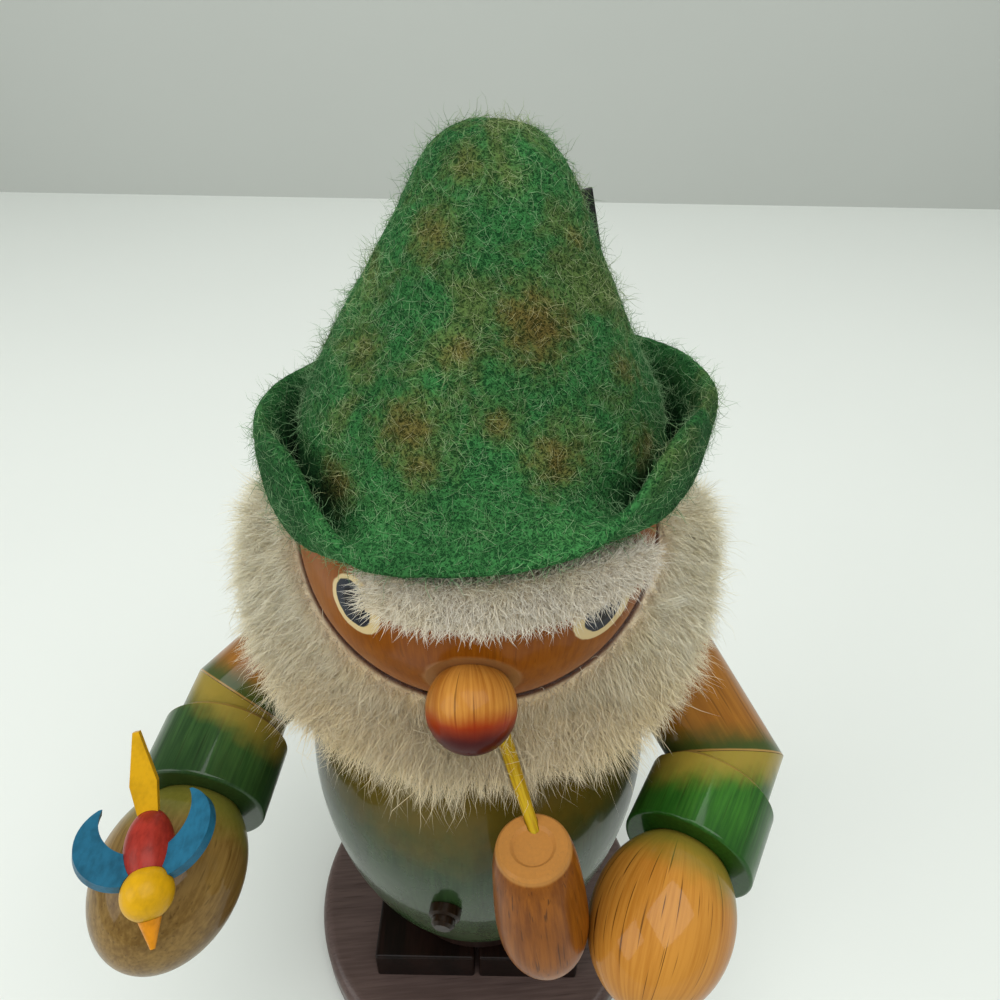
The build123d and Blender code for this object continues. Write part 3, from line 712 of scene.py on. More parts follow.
@dataclass(frozen=True)
class FurHair(Finish):
    """Off-white fur: warm at the root, pale at the tip, with painted shade towards the chin."""

    root: Colour
    tip: Colour
    yellow: Colour
    skin: bool = False
    # The painted shade's colour towards the chin
    chin: Colour = (1.0, 1.0, 1.0)
    # Dark brown at the fur's edge against the face: partly the glue line, partly painted shade in the gap
    bare: Colour = (0.20, 0.085, 0.035)
    chin_shade_heights: tuple[float, float] = (138.0, 116.0)
    glue_line_and_shade_reach: tuple[float, float] = (34.3, 33.5)

    def build(self) -> bpy.types.Material:
        """Makes the material.

        Returns:
            The new material.
        """
        material, w, surface, place = start_material(
            self.name, Roughness=0.6, Specular_IOR_Level=0.25, Sheen_Weight=0.6, Sheen_Roughness=0.4
        )
        if self.skin:
            share = w.span(w.noise(place, 900.0, 3.0, 0.7), 0.35, 0.65)
        else:
            reach = w.node("Attribute", attribute_name="reach").outputs["Fac"]
            tone = w.node("Attribute", attribute_name="tone").outputs["Fac"]
            share = w.math("ADD", w.math("MULTIPLY", reach, 0.75), w.math("MULTIPLY", tone, 0.35), True)
        colour = w.mix(share, self.root, self.tip)
        patch = w.span(w.noise(place, 70.0, 3.0, 0.6), 0.5, 0.75, 0.0, 0.5)
        colour = w.mix(patch, colour, self.yellow)
        # Painted shade: the fur darkens towards the chin, under the face and the nose
        low = w.span(w.height(place), *scaled(self.chin_shade_heights))
        colour = w.mix(low, colour, self.chin, "MULTIPLY")
        if self.skin:
            # Dark brown near the head: partly the glue line, partly painted shade in the gap between face and fur
            away = w.vector("DISTANCE", place, scaled(HEAD_CENTRE))
            colour = w.mix(w.span(away, *scaled(self.glue_line_and_shade_reach)), colour, self.bare)
            w.bump(surface, 0.8, 3.0 * FINE_RELIEF, w.noise(place, 1500.0, 3.0, 0.7))
        w.feed(surface.inputs["Base Color"], colour)
        return material


@dataclass(frozen=True)
class Paper(Finish):
    """The pale floor or backdrop."""

    colour: Colour

    def build(self) -> bpy.types.Material:
        """Makes the material.

        Returns:
            The new material.
        """
        material, w, surface, place = start_material(self.name, Roughness=0.75, Specular_IOR_Level=0.2)
        clouds = w.span(w.noise(place, 3.0, 2.0), 0.3, 0.7)
        darker = tuple(c * 0.985 for c in self.colour)
        w.feed(surface.inputs["Base Color"], w.mix(clouds, self.colour, darker))
        return material


def bare_beech(name: str) -> Lacquer:
    """Unstained beech without lacquer."""
    return Lacquer(name + " beech", (0.56, 0.36, 0.18), (0.38, 0.22, 0.10), coat=0.0, roughness=(0.55, 0.7))


# Mesh work


def select_only(piece: bpy.types.Object) -> None:
    """Makes one object the selected and active one.

    Args:
        piece: The object.
    """
    bpy.ops.object.select_all(action="DESELECT")
    piece.select_set(True)
    bpy.context.view_layer.objects.active = piece


def apply_modifier(piece: bpy.types.Object, kind: str, **settings: Any) -> None:
    """Adds a modifier with its settings and applies it.

    Args:
        piece: The object.
        kind: The modifier's type.
        settings: The modifier's properties.
    """
    select_only(piece)
    made = piece.modifiers.new(kind.lower(), kind)
    for key, value in settings.items():
        setattr(made, key, value)
    bpy.ops.object.modifier_apply(modifier=made.name)


def lumps(piece: bpy.types.Object, height: float, size: float) -> None:
    """Raises and lowers a surface in soft lumps.

    Args:
        piece: The object.
        height: The lumps' full height in millimetres.
        size: Their size in millimetres.
    """
    cloud = bpy.data.textures.new(piece.name + "_lumps", "CLOUDS")
    cloud.noise_scale = size * MM
    apply_modifier(piece, "DISPLACE", texture=cloud, texture_coords="LOCAL", strength=height * MM, mid_level=0.5)


def node_copy(node: str, name: str) -> bpy.types.Object:
    """A new object with a CAD node's mesh, its doubles merged.

    Args:
        node: The CAD node.
        name: The new object's name.

    Returns:
        The new object.
    """
    piece = bpy.data.objects.new(name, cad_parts[node].data.copy())
    bpy.context.scene.collection.objects.link(piece)
    piece.data.materials.clear()
    select_only(piece)
    bpy.ops.object.mode_set(mode="EDIT")
    bpy.ops.mesh.select_all(action="SELECT")
    bpy.ops.mesh.remove_doubles(threshold=WELD)
    bpy.ops.object.mode_set(mode="OBJECT")
    return piece


def reshape(piece: bpy.types.Object, rule: Callable[[np.ndarray], np.ndarray]) -> None:
    """Moves an object's points.

    Args:
        piece: The object.
        rule: Takes the points and gives the moved ones, in millimetres.
    """
    places = np.empty(len(piece.data.vertices) * 3, np.float32)
    piece.data.vertices.foreach_get("co", places)
    moved = rule(places.reshape(-1, 3).astype(float) / MM)
    piece.data.vertices.foreach_set("co", (moved * MM).astype(np.float32).ravel())
    piece.data.update()


def dress(piece: bpy.types.Object, material: bpy.types.Material) -> None:
    """Gives an object one material."""
    piece.data.materials.clear()
    piece.data.materials.append(material)


def surface_points(
    piece: bpy.types.Object,
    count: int,
    rng: np.random.Generator,
    keep: Callable[[np.ndarray, np.ndarray], np.ndarray],
) -> tuple[np.ndarray, np.ndarray]:
    """Random points on a mesh, spread by area.

    Args:
        piece: The object.
        count: How many points.
        rng: The seeded random numbers.
        keep: Gives a share from 0 to 1 for each face, from the faces' middles and normals.

    Returns:
        The points and their normals, points in millimetres.
    """
    mesh = piece.data
    mesh.calc_loop_triangles()
    corners = np.empty(len(mesh.loop_triangles) * 3, np.int32)
    mesh.loop_triangles.foreach_get("vertices", corners)
    places = np.empty(len(mesh.vertices) * 3, np.float32)
    mesh.vertices.foreach_get("co", places)
    tri = places.reshape(-1, 3).astype(float)[corners.reshape(-1, 3)] / MM
    cross = np.cross(tri[:, 1] - tri[:, 0], tri[:, 2] - tri[:, 0])
    area = np.linalg.norm(cross, axis=1)
    normal = cross / np.maximum(area, TINY)[:, None]
    weight = area * keep(tri.mean(1), normal)
    pick = rng.choice(len(tri), count, p=weight / weight.sum())
    a, b = rng.random(count), rng.random(count)
    a, b = np.where(a + b > 1, 1 - a, a), np.where(a + b > 1, 1 - b, b)
    chosen = tri[pick]
    first = chosen[:, 0]
    return first + a[:, None] * (chosen[:, 1] - first) + b[:, None] * (chosen[:, 2] - first), normal[pick]


def unit(vectors: np.ndarray) -> np.ndarray:
    """Vectors at length 1."""
    return vectors / np.maximum(np.linalg.norm(vectors, axis=-1, keepdims=True), TINY)


@dataclass(frozen=True)
class Growth:
    """How hairs grow: the lift off the surface and its spread in degrees, the rest as shares of a step or a length."""

    lift: float
    lift_spread: float
    jitter: float
    droop: float
    settle: float
    curl: float
    clump: float
    clump_every: int
    steps: int = 3

    def paths(
        self,
        roots: np.ndarray,
        normals: np.ndarray,
        flow: np.ndarray,
        lengths: np.ndarray,
        rng: np.random.Generator,
    ) -> np.ndarray:
        """Grows hairs from roots.

        Args:
            roots: Root points.
            normals: Surface normals at the roots.
            flow: The way the hair is combed at the roots.
            lengths: Each hair's length.
            rng: The seeded random numbers.

        Returns:
            The hairs' points, as hair by step by coordinate.
        """
        count = len(roots)
        comb = unit(flow - normals * (flow * normals).sum(1, keepdims=True))
        rise = np.radians(self.lift + self.lift_spread * rng.standard_normal(count))[:, None]
        way = unit(comb * np.cos(rise) + normals * np.sin(rise) + self.jitter * rng.standard_normal((count, 3)))
        side = unit(np.cross(way, rng.standard_normal((count, 3))))
        other = np.cross(way, side)
        phase = rng.random(count) * 2 * np.pi
        points = [roots]
        for step in range(self.steps):
            turn = (phase + step * 1.7)[:, None]
            way = unit(
                way
                + self.curl * (np.cos(turn) * side + np.sin(turn) * other)
                + self.droop * np.array([0.0, 0.0, -1.0])
                - self.settle * normals
            )
            points.append(points[-1] + way * (lengths / self.steps)[:, None])
        made = np.stack(points, 1)
        return self._clumped(made, roots) if self.clump else made

    def _clumped(self, made: np.ndarray, roots: np.ndarray) -> np.ndarray:
        """Draws the tips of neighbouring hairs together.

        Args:
            made: The hairs' points.
            roots: Their roots.

        Returns:
            The drawn hairs.
        """
        leaders = np.arange(0, len(roots), self.clump_every)
        tree = kdtree.KDTree(len(leaders))
        for index, leader in enumerate(leaders):
            tree.insert(roots[leader], index)
        tree.balance()
        mine = leaders[[tree.find(p)[1] for p in roots]]
        pull = self.clump * (np.arange(self.steps + 1) / self.steps)[None, :, None] ** 1.4
        return made * (1 - pull) + made[mine] * pull


def hair_object(name: str, paths: np.ndarray, thick: np.ndarray, rng: np.random.Generator) -> bpy.types.Object:
    """One mesh of closed three-sided tapered hairs.

    Args:
        name: The object's name.
        paths: The hairs' points in millimetres, as hair by step by coordinate.
        thick: Each hair's root radius in millimetres.
        rng: The seeded random numbers.

    Returns:
        The new object, with reach and tone attributes.
    """
    count, rows, _ = paths.shape
    way = unit(paths[:, -1] - paths[:, 0])
    side = unit(np.cross(way, rng.standard_normal((count, 3))))
    other = np.cross(way, side)
    taper = 1.0 - 0.75 * (np.arange(rows - 1) / (rows - 1)) ** 1.3
    rings = []
    for angle in (0.0, 2 * np.pi / 3, 4 * np.pi / 3):
        out = np.cos(angle) * side + np.sin(angle) * other
        rings.append(paths[:, :-1] + out[:, None, :] * (thick[:, None] * taper[None, :])[..., None])
    ring = np.stack(rings, 2).reshape(count, -1, 3)
    places = np.concatenate([ring, paths[:, -1:]], 1)
    per = places.shape[1]
    faces = [(0, 2, 1)]
    for row in range(rows - 2):
        for k in range(3):
            a, b = row * 3 + k, row * 3 + (k + 1) % 3
            faces += [(a, b, b + 3), (a, b + 3, a + 3)]
    last = (rows - 2) * 3
    faces += [(last + k, last + (k + 1) % 3, per - 1) for k in range(3)]
    corners = (np.array(faces)[None] + (np.arange(count) * per)[:, None, None]).reshape(-1)
    mesh = bpy.data.meshes.new(name)
    mesh.vertices.add(count * per)
    mesh.vertices.foreach_set("co", (places * MM).astype(np.float32).ravel())
    mesh.loops.add(len(corners))
    mesh.loops.foreach_set("vertex_index", corners.astype(np.int32))
    mesh.polygons.add(len(corners) // 3)
    mesh.polygons.foreach_set("loop_start", np.arange(0, len(corners), 3, dtype=np.int32))
    mesh.update(calc_edges=True)
    mesh.validate()
    reach = np.append(np.repeat(np.arange(rows - 1) / (rows - 1), 3), 1.0)
    for label, values in (("reach", np.tile(reach, count)), ("tone", np.repeat(rng.random(count), per))):
        made = mesh.attributes.new(label, "FLOAT", "POINT")
        made.data.foreach_set("value", values.astype(np.float32))
    mesh.shade_smooth()
    piece = bpy.data.objects.new(name, mesh)
    bpy.context.scene.collection.objects.link(piece)
    return piece


class Body:
    """What hair lies on and can't enter: sizes of the CAD pieces, with a little room."""

    HEAD_REACH = HEAD_RADIUS + 0.15
    NOSE_REACH = 7.7
    STEM = ((3.0, -24.9, 124.1), (12.3, -45.7, 108.7), 1.9)
    BOWL = ((11.2, -46.1, 106.0), (13.8, -47.4, 84.0), 8.6)
    ARM_REACH = 11.2
    TORSO_RADIUS = 38.0
    TORSO_MIDDLE = 83.3
    TORSO_BELOW = 68.71
    TORSO_ABOVE = 38.02
    TORSO_ROOM = 1.008
    TORSO_TOP = 117.3

    @staticmethod
    def _push(paths: np.ndarray, away: np.ndarray, radius: float) -> None:
        """Moves points outwards to a radius.

        Args:
            paths: The points, which are changed.
            away: Each point's way from what it leaves.
            radius: How far away the points have to be.
        """
        far = np.linalg.norm(away, axis=-1, keepdims=True)
        paths += np.where(far < radius, away / np.maximum(far, TINY) * (radius - far), 0.0)

    @classmethod
    def push_ball(cls, paths: np.ndarray, centre: Sequence[float], radius: float) -> None:
        """Moves points out of a ball."""
        cls._push(paths, paths - np.array(centre), radius)

    @classmethod
    def push_rod(cls, paths: np.ndarray, start: Sequence[float], end: Sequence[float], radius: float) -> None:
        """Moves points out of a round rod with domed ends.

        Args:
            paths: The points, which are changed.
            start: One end of the rod's axis.
            end: The other end.
            radius: The rod's radius.
        """
        a, d = np.array(start), np.array(end) - np.array(start)
        share = np.clip(((paths - a) @ d) / (d @ d), 0, 1)[..., None]
        cls._push(paths, paths - (a + share * d), radius)

    @classmethod
    def torso_depth(cls, points: np.ndarray) -> np.ndarray:
        """How far points are from the torso's middle.

        Args:
            points: The points.

        Returns:
            Their distances, where 1 is the torso's surface.
        """
        height = points[..., 2] - cls.TORSO_MIDDLE
        flat = np.hypot(points[..., 0], points[..., 1]) / cls.TORSO_RADIUS
        return np.hypot(flat, height / np.where(height < 0.0, cls.TORSO_BELOW, cls.TORSO_ABOVE))

    @classmethod
    def clear(cls, paths: np.ndarray) -> np.ndarray:
        """Moves hairs out of the head, nose, pipe, arms and torso.

        Args:
            paths: The hairs' points.

        Returns:
            The moved points.
        """
        moved = paths.copy()
        cls.push_ball(moved, HEAD_CENTRE, cls.HEAD_REACH)
        cls.push_ball(moved, NOSE_CENTRE, cls.NOSE_REACH)
        cls.push_rod(moved, *cls.STEM)
        cls.push_rod(moved, *cls.BOWL)
        for shoulder, elbow, _ in ARMS.values():
            cls.push_rod(moved, shoulder, elbow, cls.ARM_REACH)
        depth = cls.torso_depth(moved)[..., None]
        middle = np.array([0.0, 0.0, cls.TORSO_MIDDLE])
        inside = (depth < cls.TORSO_ROOM) & (moved[..., 2:] < cls.TORSO_TOP)
        return np.where(inside, middle + (moved - middle) * (cls.TORSO_ROOM / np.maximum(depth, TINY)), moved)


# Sub-assemblies


@dataclass
class FurTrim:
    """The beard, the back hair and the brow strip: an underlayer each, with hairs on it."""

    seed: int = 7
    under_hairs: int = 25000
    beard_hairs: int = 17000
    wisps: int = 2600
    back_hairs: int = 12000
    brow_hairs: int = 7600
    hairs_a_piece: int = 12000
    beard_thick: float = 0.054
    back_thick: float = 0.066
    brow_thick: float = 0.066

    # Painted shade on the fur towards the chin
    CHIN_SHADE = (0.88, 0.80, 0.67)
    SKIN = FurHair("fur underlayer", (0.86, 0.74, 0.50), (0.96, 0.87, 0.63), (0.90, 0.77, 0.48), True, CHIN_SHADE)
    HAIR = FurHair("fur hair", (0.91, 0.81, 0.55), (0.99, 0.97, 0.80), (0.96, 0.86, 0.54), False, CHIN_SHADE)
    BROW_SKIN = FurHair("brow underlayer", (0.58, 0.48, 0.33), (0.80, 0.71, 0.54), (0.70, 0.58, 0.38), True)
    BROW_HAIR = FurHair("brow hair", (0.80, 0.69, 0.50), (0.99, 0.95, 0.84), (0.93, 0.83, 0.58))
    UNDERCOAT = Growth(
        lift=42.0, lift_spread=15.0, jitter=0.30, droop=0.04, settle=0.05, curl=0.26, clump=0.2, clump_every=10
    )
    TOPCOAT = Growth(
        lift=30.0, lift_spread=13.0, jitter=0.20, droop=0.09, settle=0.07, curl=0.20, clump=0.55, clump_every=26
    )
    WISP = Growth(
        lift=36.0, lift_spread=18.0, jitter=0.30, droop=0.05, settle=0.04, curl=0.50, clump=0.5, clump_every=5
    )
    NAPE = Growth(
        lift=36.0, lift_spread=16.0, jitter=0.28, droop=0.07, settle=0.06, curl=0.26, clump=0.5, clump_every=20
    )
    BROW = Growth(
        lift=42.0, lift_spread=17.0, jitter=0.32, droop=0.04, settle=0.03, curl=0.26, clump=0.15, clump_every=9
    )
    SINK_FROM = 1.0
    SINK_OVER = 5.0
    SEAM_REACH = 7.0
    CHIN_LINE = 121.0
    BROW_END = (-28.0, -21.0, -19.0)

    def build(self) -> None:
        """Makes and dresses all the fur."""
        skin, hair = self.SKIN.build(), self.HAIR.build()
        self._beard(skin, hair)
        self._back(skin, hair)
        self._brow(self.BROW_SKIN.build(), self.BROW_HAIR.build())

    def _underlayer(
        self, node: str, cell: float, sink: float, soften: int, material: bpy.types.Material
    ) -> bpy.types.Object:
        """The soft body under the hairs, from a CAD solid.

        Args:
            node: The CAD node that it stands for.
            cell: The remesh size in millimetres.
            sink: How far it lies under the solid's surface, away from the head.
            soften: Smoothing steps.
            material: Its material.

        Returns:
            The new object.
        """
        piece = node_copy(node, node + "_underlayer")
        apply_modifier(piece, "REMESH", mode="VOXEL", voxel_size=cell * MM)
        apply_modifier(piece, "SMOOTH", factor=0.6, iterations=soften)
        group = piece.vertex_groups.new(name="sink")
        for vertex in piece.data.vertices:
            away = (vertex.co / MM - Vector(HEAD_CENTRE)).length - HEAD_RADIUS
            group.add([vertex.index], min(max((away - self.SINK_FROM) / self.SINK_OVER, 0.0), 1.0), "REPLACE")
        apply_modifier(piece, "DISPLACE", strength=-sink * MM, mid_level=0.0, vertex_group="sink")
        lumps(piece, height=0.9, size=5.0)
        piece.data.shade_smooth()
        dress(piece, material)
        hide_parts(node)
        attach(piece, FIGURE)
        LOG.info("%s: %d faces", piece.name, len(piece.data.polygons))
        return piece

    def _hairs(
        self, name: str, paths: np.ndarray, thick: float, rng: np.random.Generator, material: bpy.types.Material
    ) -> None:
        """Makes the hair meshes, a limited number of hairs each.

        Args:
            name: The pieces' name.
            paths: All the hairs.
            thick: The usual root radius.
            rng: The seeded random numbers.
            material: The hairs' material.
        """
        order = rng.permutation(len(paths))
        for index, first in enumerate(range(0, len(order), self.hairs_a_piece)):
            pick = order[first : first + self.hairs_a_piece]
            sizes = thick * (0.7 + 0.6 * rng.random(len(pick)))
            piece = hair_object(f"{name}_{index + 1}", paths[pick], sizes, rng)
            dress(piece, material)
            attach(piece, FIGURE)
            LOG.info("%s: %d hairs", piece.name, len(pick))

    @staticmethod
    def _outside(points: np.ndarray, normals: np.ndarray) -> np.ndarray:
        """Which faces look away from the head and the torso.

        Args:
            points: The faces' middles.
            normals: Their normals.

        Returns:
            1 for a face that does, and 0 for the rest.
        """
        outward = unit(points - HEAD_CENTRE)
        away = np.linalg.norm(points - HEAD_CENTRE, axis=1)
        inner = ((outward * normals).sum(1) < -0.35) & (away < 37.0)
        return (~inner & (Body.torso_depth(points) > 1.05)).astype(float)

    @staticmethod
    def _combed(points: np.ndarray) -> tuple[np.ndarray, np.ndarray]:
        """The way the beard is combed, away from the face.

        Args:
            points: Points on the beard.

        Returns:
            The way at each point, and how far towards the chin it lies.
        """
        away = points - (HEAD_CENTRE + 3.0 * FACE_NORMAL)
        spoke = unit(away - (away @ FACE_NORMAL)[:, None] * FACE_NORMAL)
        chin = np.clip(spoke @ CHIN_WAY, 0.0, 1.0)
        return spoke * 0.9 + np.array([0.0, 0.0, -0.5]), chin

    @classmethod
    def _near(cls, points: np.ndarray, edge: float) -> np.ndarray:
        """How near points lie to a cut end of the fur across Y: 1 at the end, 0 from the seam's reach on."""
        return np.clip(1.0 - np.abs(points[:, 1:2] - edge) / cls.SEAM_REACH, 0.0, 1.0)

    def _beard(self, skin: bpy.types.Material, hair: bpy.types.Material) -> None:
        """The front fur: a fluffy undercoat, and longer hairs combed away from the face.

        Args:
            skin: The underlayer's material.
            hair: The hairs' material.
        """
        rng = np.random.default_rng(self.seed)
        piece = self._underlayer("beard", 1.2, 2.3, 12, skin)
        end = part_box("beard")[1][1] / MM
        reshape(piece, lambda points: points + self._near(points, end) * np.array([0.0, 3.2, 0.0]))
        reshape(piece, lambda points: points - np.minimum(points - self.CHIN_LINE, 0.0) * np.array([0.0, 0.0, 0.42]))

        def keep(points: np.ndarray, normals: np.ndarray) -> np.ndarray:
            """More hairs where the fur looks up and to the front.

            Args:
                points: The faces' middles.
                normals: Their normals.

            Returns:
                Each face's share.
            """
            front = np.clip(normals @ unit(np.array([0.0, -0.6, 0.8])), 0.0, 1.0)
            return self._outside(points, normals) * (0.4 + 1.3 * front)

        roots, normals = surface_points(piece, self.under_hairs, rng, keep)
        rear = self._near(roots, end)
        flow = self._combed(roots)[0] + 0.45 * rng.standard_normal(roots.shape) + rear * np.array([0.0, 1.8, 0.0])
        lengths = 4.4 * (0.6 + 0.7 * rng.random(len(roots)))
        under = self.UNDERCOAT.paths(roots - 0.3 * normals, normals, flow, lengths, rng)
        roots, normals = surface_points(piece, self.beard_hairs, rng, keep)
        flow, chin = self._combed(roots)
        rear = self._near(roots, end)
        flow += 0.3 * rng.standard_normal(flow.shape) + rear * np.array([0.0, 2.2, 0.0])
        lengths = (5.4 + 1.6 * chin**2) * (0.65 + 0.6 * rng.random(len(roots)))
        lengths *= 1.0 + 0.4 * chin * np.sin(0.31 * roots[:, 0] + 0.6) * np.sin(0.13 * roots[:, 0] - 0.9)
        lengths = np.where(rng.random(len(roots)) < 0.06, lengths * 1.75, lengths) * (1.0 + 0.5 * rear[:, 0])
        over = self.TOPCOAT.paths(roots - 0.4 * normals, normals, flow, lengths, rng)
        roots, normals = surface_points(piece, self.wisps, rng, keep)
        flow, chin = self._combed(roots)
        flow += 0.5 * rng.standard_normal(flow.shape)
        lengths = (8.0 + 3.0 * chin) * (0.6 + 0.7 * rng.random(len(roots)))
        loose = self.WISP.paths(roots - 0.4 * normals, normals, flow, lengths, rng)
        self._hairs("beard_hair", Body.clear(np.concatenate([under, over, loose])), self.beard_thick, rng, hair)

    def _back(self, skin: bpy.types.Material, hair: bpy.types.Material) -> None:
        """The shorter fur behind the head, combed down.

        Args:
            skin: The underlayer's material.
            hair: The hairs' material.
        """
        rng = np.random.default_rng(self.seed + 1)
        piece = self._underlayer("back_hair", 1.2, 1.4, 26, skin)
        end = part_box("back_hair")[0][1] / MM
        reshape(piece, lambda points: points - self._near(points, end) * np.array([0.0, 4.0, 0.0]))
        roots, normals = surface_points(piece, self.back_hairs, rng, self._outside)
        flow = np.array([0.0, 0.0, -1.0]) + 0.3 * unit(roots * np.array(FLAT)) + 0.35 * rng.standard_normal(roots.shape)
        front = self._near(roots, end)
        flow += front * np.array([0.0, -2.2, 0.0])
        lengths = 7.6 * (0.5 + 0.8 * rng.random(len(roots)))
        paths = self.NAPE.paths(roots - 0.4 * normals, normals, flow, lengths, rng)
        self._hairs("back_hair_hair", Body.clear(paths), self.back_thick, rng, hair)

    @staticmethod
    def _tucked(points: np.ndarray) -> np.ndarray:
        """Draws the brow strip's upper edge up under the brim, which is higher on the figure's left.

        Args:
            points: The strip's points.

        Returns:
            The moved points.
        """
        away = points - HEAD_CENTRE
        far = np.linalg.norm(away, axis=1)
        share = np.clip((away[:, 2] - 8.0) / 5.0, 0.0, 1.0)
        rise = 1.0 + 3.5 * np.clip(away[:, 0] / 20.0, 0.0, 1.0)
        height = away[:, 2] + rise * share * share * (3.0 - 2.0 * share)
        flat = np.sqrt(np.maximum(far**2 - height**2, 0.0)) / np.hypot(away[:, 0], away[:, 1])
        return np.stack([away[:, 0] * flat, away[:, 1] * flat, height], 1) + HEAD_CENTRE

    def _brow(self, skin: bpy.types.Material, hair: bpy.types.Material) -> None:
        """The short crisp fur between the eyes and the hat.

        Args:
            skin: The underlayer's material.
            hair: The hairs' material.
        """
        rng = np.random.default_rng(self.seed + 2)
        piece = self._underlayer("brow_fur", 0.6, 0.9, 3, skin)
        reshape(piece, self._tucked)
        last, sparse, swept = self.BROW_END

        def keep(points: np.ndarray, normals: np.ndarray) -> np.ndarray:
            """Fewer hairs at the strip's right end and along its lower edge.

            Args:
                points: The faces' middles.
                normals: Their normals.

            Returns:
                Each face's share.
            """
            turn = np.degrees(np.arctan2(points[:, 0], -points[:, 1]))
            inside = (turn > last) * np.where(turn < sparse, 0.5, 1.0)
            return self._outside(points, normals) * inside * np.where(points[:, 2] < HEAD_CENTRE[2] + 7.6, 0.35, 1.0)

        roots, normals = surface_points(piece, self.brow_hairs, rng, keep)
        flow = np.array([0.0, -0.2, -0.35]) + 0.9 * rng.standard_normal(roots.shape)
        end = np.degrees(np.arctan2(roots[:, 0], -roots[:, 1])) < swept
        flow += end[:, None] * np.array([-1.6, 0.0, 0.5])
        lengths = (3.5 + 0.5 * end) * (0.5 + 0.8 * rng.random(len(roots)))
        paths = self.BROW.paths(roots - 0.3 * normals, normals, flow, lengths, rng)
        self._hairs("brow_hair", Body.clear(paths), self.brow_thick, rng, hair)


